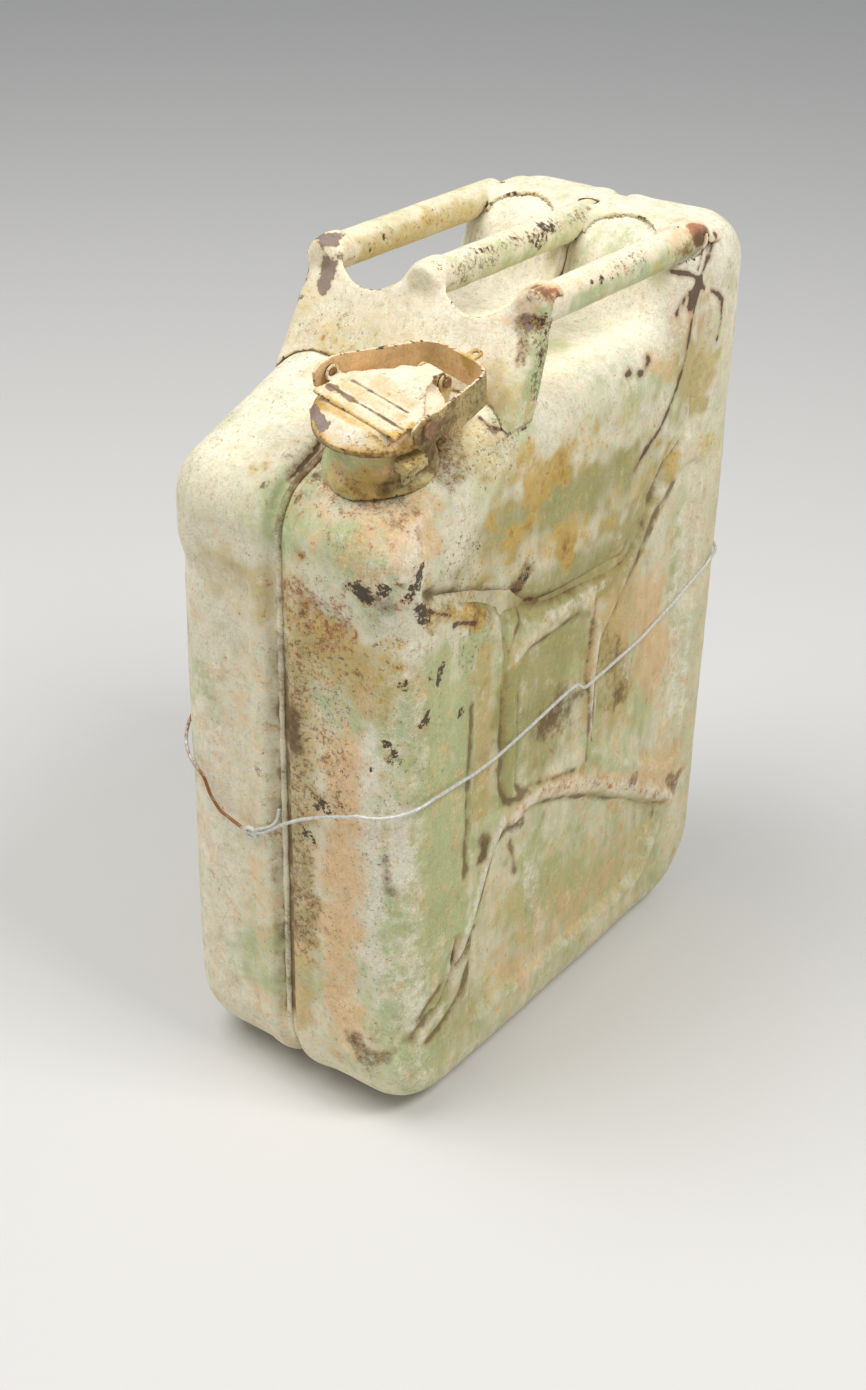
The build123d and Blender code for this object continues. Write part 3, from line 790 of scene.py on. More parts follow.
def curvature(piece, rounds):
    """Bend of the surface at each vertex, per millimetre, positive in hollows and negative on edges."""
    points, normals, ends = places(piece), vertex_normals(piece), edge_ends(piece)
    a, b = ends.T
    run = points[b] - points[a]
    length = np.maximum((run ** 2).sum(axis=1), 1e-6)
    count = len(points)
    bend = np.bincount(a, (run * normals[a]).sum(axis=1) / length, count)
    bend -= np.bincount(b, (run * normals[b]).sum(axis=1) / length, count)
    degree = np.bincount(a, minlength=count) + np.bincount(b, minlength=count)
    return spread(2 * bend / np.maximum(degree, 1), ends, rounds)


def add_wear_and_painted_light(piece, kind, values):
    """Adds to one kind of mark that a piece's vertices carry: wear, painted shade and painted highlight alike."""
    layer = piece.data.attributes.get(kind) or piece.data.attributes.new(kind, "FLOAT", "POINT")
    held = np.zeros(len(piece.data.vertices))
    layer.data.foreach_get("value", held)
    layer.data.foreach_set("value", held + values)


def on_surface(points, line):
    """A line's places at short steps, each moved to the piece's nearest vertex, then softened."""
    line = np.array(line, float)
    travel = travel_along(line)
    steps = max(1, round(travel[-1] / LINE_STEP))
    line = places_at(line, travel, np.linspace(0, travel[-1], steps + 1))
    return soften(np.array([points[np.argmin(((points - place) ** 2).sum(axis=1))] for place in line]), 2)


def mark(piece, marks, seed=1):
    """Puts marks on a piece. A kind's rows have a radius, a strength and the places that the mark follows.

    A scratch or crease has a sharpness in place of radius and strength.
    """
    points = places(piece)
    ragged = 1.0 + 0.35 * cloudy(points, 9.0, seed) + 0.25 * cloudy(points, 24.0, seed + 3)
    for kind, rows in marks.items():
        total = np.zeros(len(points))
        for *size, line in rows:
            if len(line) == 1:
                line = [line[0], np.array(line[0]) + (0, 0, 0.5)]
            if kind in LINE_KINDS:
                cover = LINE_REACH - line_distance(points, on_surface(points, line)) * size[0]
            else:
                radius, strength = size
                cover = strength * ease(radius * 1.3, radius * 0.3, line_distance(points, line) * ragged)
            total = np.maximum(total, cover) if kind in STRONGEST_SHOWS else total + cover
        add_wear_and_painted_light(piece, kind, total)


STUD_SIDES = 40

# How far from a stud's sides and ends a copy starts to flow into it, and where it does so fully
MELT_SIDES = (12, 5)
MELT_ENDS = (12, 2)


def worn_copy_with_painted_shade(node, voxel, body, slot, smooth=4, dents=0.0, dirt=0.5, studs=(), melt=0, name=""):
    """A remeshed copy of a CAD node with soft edges, slight dents, dirt and painted shade in its hollows and wear
    on its edges.

    Studs are short rods along y, as x, z, radius, first y and last y, that the copy flows into.
    """
    name = name or node + "_skin"
    built = bmesh.new()
    built.from_mesh(NODES[node].data)
    for x, z, radius, first, last in studs:
        middle = Matrix.Translation(Vector((x, (first + last) / 2, z)) * MM)
        bmesh.ops.create_cone(built, cap_ends=True, segments=STUD_SIDES, radius1=radius * MM,
                              radius2=radius * MM, depth=(last - first) * MM,
                              matrix=middle @ Matrix.Rotation(math.pi / 2, 4, "X"))
    mesh = bpy.data.meshes.new(name)
    built.to_mesh(mesh)
    built.free()
    piece = bpy.data.objects.new(name, mesh)
    bpy.context.scene.collection.objects.link(piece)
    remesh = piece.modifiers.new("remesh", "REMESH")
    remesh.mode = "VOXEL"
    remesh.voxel_size = voxel * MM
    soft = piece.modifiers.new("soft", "SMOOTH")
    soft.factor = 0.5
    soft.iterations = smooth
    settle(piece)
    if melt:
        points, ends = places(piece), edge_ends(piece)
        near = np.zeros(len(points))
        for x, z, radius, first, last in studs:
            off_side = np.hypot(points[:, 0] - x, points[:, 2] - z) - radius
            along = np.maximum(first - points[:, 1], points[:, 1] - last)
            near = np.maximum(near, ease(*MELT_SIDES, off_side) * ease(*MELT_ENDS, along))
        soft_points = np.column_stack([spread(points[:, k], ends, melt) for k in range(3)])
        put_places(piece, points + (soft_points - points) * near[:, None])
    points, normals = places(piece), vertex_normals(piece)
    seed = len(name)
    ripple = cloudy(points, 16.0, seed) + 0.4 * cloudy(points, 6.0, seed + 2)
    put_places(piece, points + normals * (ripple * dents)[:, None])
    shade_smooth(piece)
    bend = curvature(piece, 3)
    # Dirt and painted shade in the hollows.
    add_wear_and_painted_light(piece, "dirt", dirt * ease(0.03, 0.22, bend))
    add_wear_and_painted_light(piece, "chips", 0.5 * ease(0.10, 0.45, -bend))
    add_wear_and_painted_light(piece, "amber", 0.5 * ease(0.06, 0.30, -bend))
    take_place(piece, [node], body, slot)
    return piece


PRESS_DEPTH = 0.2


def press_on(piece, under, reach):
    """Moves the side of a piece that faces a near surface onto that surface, and a hair into it."""
    built = bmesh.new()
    for other in under:
        built.from_mesh(other.data)
    tree = BVHTree.FromBMesh(built)
    built.free()
    points, normals = places(piece), vertex_normals(piece)
    for k, (point, normal) in enumerate(zip(points, normals)):
        away = tree.ray_cast(Vector(point) * MM, Vector(normal), reach * MM)[3]
        if away is not None:
            points[k] += normal * (away / MM + PRESS_DEPTH)
    put_places(piece, points)


def take_place(piece, nodes, body, slot):
    """Shows a piece in place of CAD nodes, on their body and in their paint."""
    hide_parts(*nodes)
    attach(piece, body)
    piece.data.materials.clear()
    piece.data.materials.append(PAINTS[slot])


def tube(line, radii, sides, closed=False):
    """Vertices and faces of a round tube along a line of places."""
    line = np.array(line, float)
    count = len(line)
    if closed:
        ways = np.roll(line, -1, axis=0) - np.roll(line, 1, axis=0)
    else:
        ways = np.gradient(line, axis=0)
    ways /= np.linalg.norm(ways, axis=1)[:, None]
    vertices = []
    side = np.cross(ways[0], (0, 0, 1.0))
    for k in range(count):
        side = side - ways[k] * (side @ ways[k])
        side /= np.linalg.norm(side)
        top = np.cross(ways[k], side)
        for s in range(sides):
            angle = 2 * math.pi * s / sides
            vertices.append(line[k] + (side * math.cos(angle) + top * math.sin(angle)) * radii[k])
    faces = []
    for k in range(count if closed else count - 1):
        for s in range(sides):
            t = (s + 1) % sides
            after = (k + 1) % count
            faces.append((k * sides + s, after * sides + s, after * sides + t, k * sides + t))
    if not closed:
        faces.append(tuple(range(sides)))
        faces.append(tuple((count - 1) * sides + s for s in reversed(range(sides))))
    return vertices, faces


# Marks copied from the photograph, by kind. Columns: radius, strength, places along the mark.
# A scratch or crease has a sharpness in place of radius and strength.

# On the broad spout side, places are y, z
SIDE_MARKS = {
    "scratch": [
        (1.2, [(107, 441), (105, 433), (102, 422), (99, 408), (98, 396), (93, 391)]),
        (1.1, [(93, 391), (87, 381), (78, 371), (70, 364), (59, 358), (49, 353), (46, 349)]),
        (1.6, [(108, 441), (118, 437), (128, 431), (134, 425)]),
        (1.7, [(134, 423), (135, 414), (135, 408), (132, 403)]), (1.2, [(35, 410), (38, 409)]),
        (1.3, [(47, 406), (54, 407), (57, 411), (59, 414)]), (1.9, EDGE_FOLD[:5]),
        (1.5, [(-62, 307), (-48, 303)]), (1.4, [(-84, 321), (-62, 314)]), (1.1, [(-118, 331), (-107, 328)]),
        (2.2, [(-148, 337), (-129, 328)]), (1.8, [(-126, 321), (-107, 314)]),
    ],
    # Dark lines along the folds: dirt in the creases and painted shade where the pressing steps in.
    "crease": [
        (1.0, FIELD_FOLD), (1.0, ARM_FOLD[:7]), (3.0, ARM_FOLD[6:]), (1.5, FRAME_FOLD),
        (2.0, [(-62, 306), (-69, 292), (-74, 281)]), (1.7, PANEL_FOLD), (2.6, PANEL_REAR_FOLD),
        (1.8, LOWER_FOLD), (1.1, CORNER_FOLD), (0.9, EDGE_FOLD), (1.2, EDGE_FOLD_ABOVE),
        (1.4, EDGE_FOLD_BELOW), (1.7, UPRIGHT_FOLD), (1.5, [(-59, 151), (-53, 125)]),
        (1.2, [(-89, 167), (-93, 157)]),
    ],
    # The first dirt row, along FIELD_FOLD, is a painted shadow under the upper field's swell.
    "dirt": [
        (8, 0.4, FIELD_FOLD[1:11]), (8, 1.0, [(-48, 158), (-62, 162), (-71, 160)]),
        (6, 0.9, [(-89, 167), (-93, 158)]), (6, 1.0, [(-100, 101), (-104, 97)]), (7, 0.8, [(72, 127)]),
        (8, 0.8, [(122, 104), (130, 94)]), (9, 0.7, [(-66, 318), (-58, 328)]),
        (12, 0.6, [(-28, 214), (-4, 222)]), (14, 0.5, [(55, 220), (60, 206)]),
        (12, 0.5, [(-94, 322), (-76, 316)]), (14, 0.45, [(34, 240), (44, 196)]),
        (18, 0.4, [(-40, 222), (-10, 206)]),
    ],
    # The olive rows on and just above FIELD_FOLD are a painted shadow of the upper field's swell.
    "olive": [
        (12, 0.6, FIELD_FOLD[1:13]), (18, 0.5, [(84, 418), (104, 392), (108, 372)]),
        (28, 0.9, [(-90, 356), (60, 346)]), (12, 0.6, [(-100, 318), (-60, 300), (0, 288), (40, 286)]),
        (14, 0.8, [(-90, 356), (40, 354)]), (8, 0.9, [(-71, 262), (-71, 188)]),
        (20, 0.6, [(-56, 268), (0, 262)]), (20, 1.0, [(-62, 312), (-24, 306), (40, 302), (60, 318)]),
        (26, 0.9, [(-30, 250), (-30, 206)]), (60, 0.3, [(-40, 240), (40, 230)]),
        (50, 0.2, [(-50, 90), (80, 70)]), (26, 0.5, [(-130, 60), (-100, 50)]),
    ],
    "tan": [
        (20, 0.9, [(90, 410), (110, 380)]), (16, 0.8, [(118, 430), (124, 380)]),
        (22, 0.8, [(40, 240), (50, 190)]), (26, 0.4, [(-50, 100), (90, 70)]),
        (10, 1.0, [(-94, 290), (-94, 190)]),
    ],
    "green": [
        (20, 0.6, [(76, 400), (96, 372)]), (26, 0.5, [(0, 410), (60, 404)]),
        (22, 0.7, [(-40, 100), (60, 60)]), (15, 0.5, [(-80, 356), (30, 354)]),
        (15, 0.6, [(-108, 388), (-70, 404)]),
        (12, 1.0, [(-96, 320), (-112, 280), (-116, 170), (-116, 120)]), (8, 1.2, [(-71, 262), (-71, 188)]),
        (9, 1.0, [(-72, 306), (-72, 282)]), (14, 0.5, [(20, 300), (60, 230), (84, 170)]),
        (10, 0.8, [(-88, 150), (-98, 118)]), (12, 0.6, [(-45, 130), (-30, 62)]),
    ],
    # Along the beads, peach is partly a painted highlight on their ridges.
    "peach": [
        (12, 1.3, [(84, 440), (96, 424)]), (12, 1.0, [(60, 424), (72, 400)]), (9, 0.7, ARM_BEAD),
        (8, 0.8, REAR_BEAD), (24, 0.9, [(30, 282), (70, 250), (100, 200)]),
        (24, 0.5, [(-60, 60), (60, 60)]), (16, 0.8, [(90, 130), (120, 110)]),
    ],
    "rust": [(5, 0.7, [(28, 424), (36, 416)]), (6, 0.35, ARM_BEAD)],
    "primer": [(6, 0.7, [(-50, 159), (-62, 162)])],
    "chips": [(6, 0.85, [(-64, 318), (-60, 326)])],
    "amber": [
        (15, 0.8, [(-66, 396), (-58, 382), (-48, 378)]), (14, 0.5, [(-84, 372), (-40, 372), (-28, 380)]),
        (20, 0.45, [(-20, 386), (40, 384), (66, 380)]), (10, 0.5, [(-96, 352), (-70, 352)]),
        (16, 0.7, [(-95, 338), (-60, 334), (-20, 333)]), (16, 0.5, [(-20, 334), (60, 336), (90, 338)]),
        (10, 0.55, [(-22, 322), (0, 324)]), (14, 0.5, [(96, 336), (140, 337)]),
        (8, 0.7, [(-112, 322), (-100, 318)]), (7, 0.45, ARM_BEAD),
        (7, 0.5, [(-62, 280), (-40, 284), (10, 283)]), (16, 0.4, [(34, 262), (44, 214), (52, 186)]),
    ],
    # Along the beads, bone is partly a painted highlight on their ridges.
    "bone": [
        (9, -0.7, [(-71, 262), (-71, 188)]), (30, 0.8, [(-40, 440), (60, 440)]),
        (14, 0.7, [(122, 290), (124, 160)]), (10, 0.5, [(-38, 118), (-24, 66)]), (9, 0.5, ARM_BEAD),
        (7, 0.5, CORNER_BEAD), (8, 0.45, [(-62, 280), (-40, 284), (10, 283)]), (5, 0.6, REAR_BEAD),
    ],
}

# On the narrow spout side, places are x, z
FRONT_MARKS = {
    "specks": [
        (18, 1.1, [(12, 300), (10, 110)]), (26, 0.9, [(30, 330), (30, 230)]),
        (40, 0.45, [(50, 200), (45, 80)]),
    ],
    # The long dirt rows at x = 3 to 12 are dirt and a painted shadow down the front beside the seam.
    "dirt": [
        (14, 0.45, [(8, 300), (12, 120)]), (8, 0.7, [(10, 256), (9, 244)]),
        (9, 0.45, [(50, 352), (62, 345)]), (10, 0.8, [(52, 60), (60, 50), (68, 56)]),
        (5, 0.6, [(3, 180), (3, 60)]),
    ],
    "chips": [
        (5, 0.85, [(25, 210), (36, 208)]), (5, 0.8, [(17, 192), (22, 186)]),
        (5, 0.6, [(50, 350), (62, 347)]),
    ],
    "amber": [
        (22, 0.35, [(10, 318), (60, 318)]), (18, 0.5, [(36, 312), (60, 296)]),
        (14, 0.35, [(40, 250), (42, 120)]),
    ],
    "tan": [
        (22, 0.5, [(-40, 330), (10, 330)]), (24, 1.2, [(36, 310), (62, 296)]),
        (14, 0.8, [(14, 300), (10, 60)]),
    ],
    "green": [
        (10, 1.0, [(70, 300), (72, 60)]), (12, 0.5, [(48, 380), (62, 350)]),
        (24, 0.5, [(10, 362), (60, 356)]),
    ],
    "bone": [
        (8, 0.8, [(62, 270), (64, 90)]), (24, 0.3, [(20, 352), (70, 346)]),
        (26, 0.5, [(-50, 320), (-50, 60)]),
    ],
    "rust": [(20, 0.5, [(8, 330), (40, 326)])],
    "peach": [(16, 0.8, [(44, 250), (42, 60)])],
    "primer": [(7, 0.6, [(54, 60), (62, 50)])],
    "crease": [(0.9, [(2, 300), (2, 60)])],
}

# Elsewhere on the body, places are x, y, z
BODY_MARKS = {
    "scratch": [
        (1.6, [(75, 127, 464), (81, 123, 455), (82, 113, 450), (82, 107, 443)]),
        (2.0, [(74, 124, 462), (80, 112, 456), (81, 107, 450)]),
        (1.6, [(71, 90, 452), (75, 94, 450), (79, 100, 449), (82, 106, 445)]),
        (1.5, [(82, 107, 442), (81, 101, 437), (81, 97, 431)]),
        (1.8, [(80, 97, 439), (78, 92, 434), (77, 89, 429)]),
        (2.2, [(64, -84, 416), (73, -83, 411), (76, -78, 412), (79, -62, 407)]),
        (1.3, [(-5, -128, 398), (-4, -136, 394), (-4, -145, 390), (-6, -152, 384)]),
    ],
    "chips": [
        (4.5, 1.2, [(82, -149, 362), (81, -153, 361), (81, -152, 357), (80, -156, 353)]),
        (4, 0.9, [(57, -172, 349)]), (3.5, 1.2, [(70, -168, 353)]),
        (3.5, 1.2, [(82, -150, 342), (81, -152, 338)]), (4.5, 1.2, [(81, -153, 334)]),
        (3.5, 1.1, [(83, -126, 329)]), (3.5, 1.1, [(83, -135, 301), (83, -138, 295)]),
        (3, 1.2, [(76, -163, 298)]), (2.5, 1.1, [(83, -141, 291)]), (3.5, 1.2, [(67, -169, 276)]),
        (4, 1.1, [(67, -169, 264)]), (4, 1.2, [(70, -168, 253), (73, -166, 254)]),
        (3, 1.2, [(82, -148, 275), (81, -152, 272)]), (3, 1.1, [(61, -172, 246), (66, -170, 241)]),
        (2.5, 1.1, [(83, -116, 264)]), (3, 0.9, [(83, -107, 359), (83, -107, 350)]),
        (4, 0.85, [(78, 114, 465)]),
    ],
    "primer": [
        (6, 1.0, [(59, -172, 347)]), (6, 0.7, [(-14, -161, 386)]),
        (4, 0.85, [(70, -84, 411), (77, -79, 407)]),
    ],
    # The dirt right of the neck's foot, at x = 37 to 60, is a painted shadow of the lid over dirt.
    "dirt": [
        (4, 0.9, [(70, -168, 190), (72, -166, 170)]), (16, 0.5, [(79, -157, 346), (82, -140, 333)]),
        (10, 0.6, [(-4, -100, 410), (-4, -150, 388)]), (18, 0.6, [(62, -108, 408), (72, -116, 400)]),
        (14, 0.45, [(37, -158, 396), (60, -150, 392)]), (5, 0.5, [(77, 104, 471), (78, 112, 468)]),
    ],
    "amber": [(8, 1.0, [(82, -146, 334), (83, -126, 325), (83, -105, 316)]), (9, 0.6, [(-22, -157, 390)])],
    "bone": [
        (10, 1.0, [(76, -163, 218), (76, -163, 186)]), (12, -0.4, [(83, -138, 290), (83, -138, 140)]),
        (30, 0.6, [(-50, -130, 402), (-60, -100, 412)]), (40, 0.7, [(-50, 60, 425), (50, 60, 425)]),
        (40, 0.8, [(-60, 120, 472), (60, 120, 472)]),
    ],
    "green": [
        (14, 0.9, [(83, -138, 300), (83, -138, 130)]), (26, 0.25, [(-50, -130, 402), (-60, -100, 412)]),
        (30, 0.4, [(20, -160, 384), (66, -156, 380)]), (16, 0.5, [(-60, 130, 470), (-30, 100, 472)]),
    ],
    "specks": [
        (30, 0.5, [(78, -158, 350), (76, -158, 240)]), (22, 0.8, [(83, -120, 360), (83, -112, 300)]),
        (34, 0.35, [(52, -140, 398), (40, -160, 388)]), (26, 0.8, [(66, -110, 405), (76, -85, 405)]),
    ],
    "peach": [
        (16, 0.9, [(71, -143, 390), (76, -150, 372)]), (26, 0.6, [(20, -160, 385), (60, -160, 375)]),
        (12, 1.0, [(76, 98, 472), (77, 112, 469)]),
    ],
    "tan": [(24, 0.8, [(60, -110, 406), (76, -90, 404)])],
    "rust": [(26, 0.3, [(10, -150, 392), (50, -156, 388)]), (5, 0.8, [(75, 104, 473), (77, 109, 470)])],
}

# On the bracket, the tubes and the lid
BRACKET_MARKS = {
    "primer": [
        (10, 1.35, [(-80, -43, 467), (-67, -42, 473)]), (7, 1.3, [(-63, -47, 464), (-62, -53, 455)]),
        (8, 1.2, [(-82, -46, 460), (-82, -56, 444)]), (5, 0.9, [(68, -53, 455), (72, -61, 442)]),
    ],
    "amber": [(10, 0.55, [(-55, -68, 432), (-41, -71, 428), (-31, -71, 428)])],
    "specks": [
        (16, 0.6, [(-50, -64, 438), (-30, -70, 430)]), (8, 1.3, [(78, -48, 456), (80, -54, 428)]),
        (8, 0.9, [(9, -38, 471), (9, -24, 470)]),
    ],
    "dirt": [
        (3.5, 1.2, [(-84, -50, 455), (-84, -68, 428)]), (8, 0.7, [(68, -42, 471), (76, -42, 470)]),
        (6, 0.7, [(68, -53, 455), (72, -61, 442)]),
    ],
    "rust": [(6, 0.9, [(68, -42, 471), (76, -40, 473)]), (6, 0.5, [(6, -30, 460)])],
    "peach": [(10, 1.5, [(62, -44, 469), (76, -40, 474)])],
    "chips": [(4, 0.6, [(75, -46, 464), (78, -46, 461)]), (4, 0.62, [(79, -48, 454), (80, -52, 438)])],
    "green": [(14, 1.2, [(82, -44, 460), (82, -56, 425)])],
    "tan": [(14, 0.8, [(60, -66, 430), (70, -70, 424)]), (30, 0.5, [(-60, -60, 440), (-20, -60, 440)])],
    "bone": [(40, 0.7, [(-40, -50, 460), (40, -50, 460)])],
}

TUBE_MARKS = {
    "chips": [
        (5, 0.85, [(7, 57, 471), (9, 52, 468)]), (3.5, 0.55, [(6, 23, 472), (8, 42, 470)]),
        (3.5, 0.6, [(6, -6, 472), (6, 2, 472)]), (3, 0.75, [(77, -5, 470)]), (3, 0.75, [(78, 4, 469)]),
        (3, 0.7, [(78, 13, 468)]), (3, 0.75, [(-60, -4, 467), (-60, -2, 464)]),
        (3, 0.75, [(-60, -17, 463)]),
    ],
    "specks": [
        (6, 1.1, [(7, -30, 470), (7, 100, 471)]), (6, 1.2, [(9, -32, 466), (9, 4, 466)]),
        (8, 0.9, [(77, 24, 470), (76, 46, 472)]), (9, 0.6, [(-60, -20, 466), (-60, 90, 466)]),
    ],
    # Green under the tubes is painted shade.
    "green": [(9, 0.8, [(78, -20, 461), (78, 100, 461)]), (9, 0.6, [(8, -20, 460), (8, 100, 460)])],
    "tan": [(12, 0.9, [(-60, -20, 461), (-60, 100, 461)])],
    "amber": [
        (7, 0.7, [(-60, 34, 469), (-60, 44, 468)]), (6, 0.5, [(-62, -16, 460), (-60, 10, 460)]),
        (7, 0.7, [(78, 60, 462), (79, 96, 464)]),
    ],
    "rust": [(6, 0.8, [(75, 101, 473), (77, 107, 471)])],
    "peach": [(10, 0.8, [(74, 86, 472), (76, 106, 472)])],
    "dirt": [(7, 0.7, [(79, 84, 462), (80, 104, 464)])],
    # Bone along the tubes' tops is a painted highlight.
    "bone": [(12, 0.8, [(66, -20, 474), (66, 90, 474)]), (12, 0.8, [(-4, -20, 474), (-4, 90, 474)])],
}

LID_MARKS = {
    "primer": [(5, 1.1, [(30, -166, 418), (46, -168, 416)])],
    "peach": [(20, 0.8, [(15, -155, 432), (55, -158, 430)])],
    "amber": [(5, 0.8, [(10, -146, 430), (22, -160, 424), (44, -166, 421), (60, -160, 422)])],
    "specks": [(12, 0.9, [(46, -164, 424), (58, -160, 426)])],
}

# The sides that the photograph does not show: how much sharper the creases are, and made-up marks
HIDDEN_SHARPNESS = 1.5
HIDDEN_MARKS = {
    "chips": [
        (5, 0.8, [(-82, -140, 330), (-80, -154, 312)]), (4, 0.75, [(-82, 40, 402), (-82, 52, 396)]),
        (5, 0.75, [(-82, 120, 232)]),
    ],
    "dirt": [(16, 0.6, [(-82, -30, 300), (-82, 50, 296)]), (40, 0.4, [(-60, 168, 60), (60, 168, 60)])],
    "amber": [(20, 0.7, [(-82, -60, 352), (-82, 30, 340)]), (18, 0.6, [(-82, 96, 420), (-82, 80, 380)])],
    "scratch": [(1.6, [(-82, 90, 430), (-82, 70, 404), (-82, 62, 372)])],
    "specks": [
        (60, 0.6, [(-82, -120, 380), (-82, 120, 380)]), (50, 0.7, [(-60, 168, 380), (60, 168, 120)]),
    ],
    "rust": [(40, 0.4, [(-82, -120, 100), (-82, 120, 100)])],
    "peach": [(50, 0.6, [(-82, -100, 200), (-82, 120, 90)])],
}

# From here on, places are in the spout's own frame
STRAP_MARKS = {
    "bone": [(30, 0.5, [(0, 0, 40)])],
    "peach": [
        (4, 1.0, [(-27, -13, 40), (27, -13, 40)]), (4, 1.2, [(-20, -3, 40), (20, -3, 40)]),
        (8, 0.8, [(-4, 12, 40), (12, 8, 40)]),
    ],
    "primer": [
        (2.0, 1.1, [(-25, -8, 38), (-14, -8, 38)]), (1.4, 1.0, [(-14, -8, 38), (22, -8, 38)]),
        (1.2, 0.9, [(-8, 2.5, 38), (18, 2.5, 38)]),
    ],
    # Dark lines along the strap's ribs are painted shade.
    "crease": [(4.2, [(-27, -8, 38), (27, -8, 38)]), (4.6, [(-20, 2.5, 38), (19, 2.5, 38)])],
    "specks": [(12, 0.7, [(10, 14, 38)])],
    "dirt": [(6, 1.0, [(20, 24, 38)])],
    "amber": [(5, 0.8, [(28, -14, 38), (28, -4, 38)]), (3, 0.7, [(-28, -17, 38), (28, -17, 38)])],
}

# Round the lid's front rim
RIM = [(-33, 4), (-30, -14), (-18, -28), (0, -33.5), (18, -28), (30, -14), (33, 4)]
RIM_MARKS = {
    "amber": [(5, 1.5, [(a, b, 28) for a, b in RIM]), (3, 1.1, [(-26, -19, 35), (26, -19, 35)])],
    "peach": [(6, 1.2, [(a, b, 29) for a, b in RIM])],
    "tan": [(5, 1.2, [(a, b, 27) for a, b in RIM])],
    "bone": [(8, 1.0, [(-14, -25, 35), (12, -25, 35)])],
    "specks": [(6, 1.2, [(a, b, 27) for a, b in RIM])],
    "dirt": [(3, 0.9, [(a, b, 24) for a, b in RIM])],
    "primer": [(3.5, 1.3, [(-14, -31, 27), (4, -33, 27)]), (4.5, 1.2, [(-24, -22, 33), (-8, -28, 33)])],
}

BAIL_MARKS = {
    "peach": [(12, 0.6, [(-28, 20, 34), (0, 42, 34), (28, 20, 34)])],
    "amber": [(7, 1.0, [(4, 58, 31), (4, 66, 31)])],
    "dirt": [(12, 0.5, [(42, -8, 30), (42, 10, 30)])],
}

NECK_MARKS = {
    "green": [(20, 1.0, [(-20, -20, 12), (-4, -28, 12)])],
    "tan": [(20, 1.2, [(24, -14, 12)])],
    "amber": [(12, 0.5, [(14, -24, 12), (26, -12, 12)]), (9, 0.6, [(-6, -28, 6), (16, -24, 6)])],
    # The first dirt row, on the neck's right side, is painted shade over dirt.
    "dirt": [(16, 0.8, [(30, -2, 14), (26, 12, 12)]), (5, 0.3, [(-20, -20, 0), (0, -30, 0), (20, -20, 0)])],
    "peach": [(10, 0.8, [(-4, -28, 8), (20, -20, 8)])],
    "specks": [(12, 0.6, [(-20, -20, 2), (0, -28, 3), (26, -8, 3)])],
}

LUG_MARKS = {
    "tan": [(14, 1.2, [(33, -8, 22)])],
    "amber": [(12, 0.5, [(33, -8, 24)])],
    # Dirt under the lug is painted shade between the neck and the lug's strip.
    "dirt": [(10, 0.8, [(33, -4, 12)])],
    "specks": [(16, 1.2, [(33, -8, 16)])],
}


# Wear and painted light of the pieces

# How far under a broad side's plane the places of soft marks lie
SOFT_MARK_DEPTH = 1.5


def side_line(kind, line, side):
    """A line of y, z on a broad side. Scratches and creases lie down on the pressing."""
    under = np.full(len(line), SOFT_MARK_DEPTH)
    if kind in LINE_KINDS:
        under = side_depth(*np.array(line, float).T)
    return [(side * (HALF_WIDTH - depth), y, z) for depth, (y, z) in zip(under, line)]


def moved_marks(marks, move):
    """Marks whose lines have been moved into the can's frame."""
    return {kind: [(*row[:-1], move(kind, row[-1])) for row in rows] for kind, rows in marks.items()}


def spout_marks(marks):
    """Marks in the spout's own frame, moved to the can's frame."""
    return moved_marks(marks, lambda kind, line: [tuple(spout_point(*place)) for place in line])


def off_neck_axis(points):
    """How far up along the neck's axis places lie, and their way out from it."""
    axis = np.array(NECK_AXIS)
    above = points - np.array(NECK_BASE)
    height = above @ axis
    return height, above - height[:, None] * axis


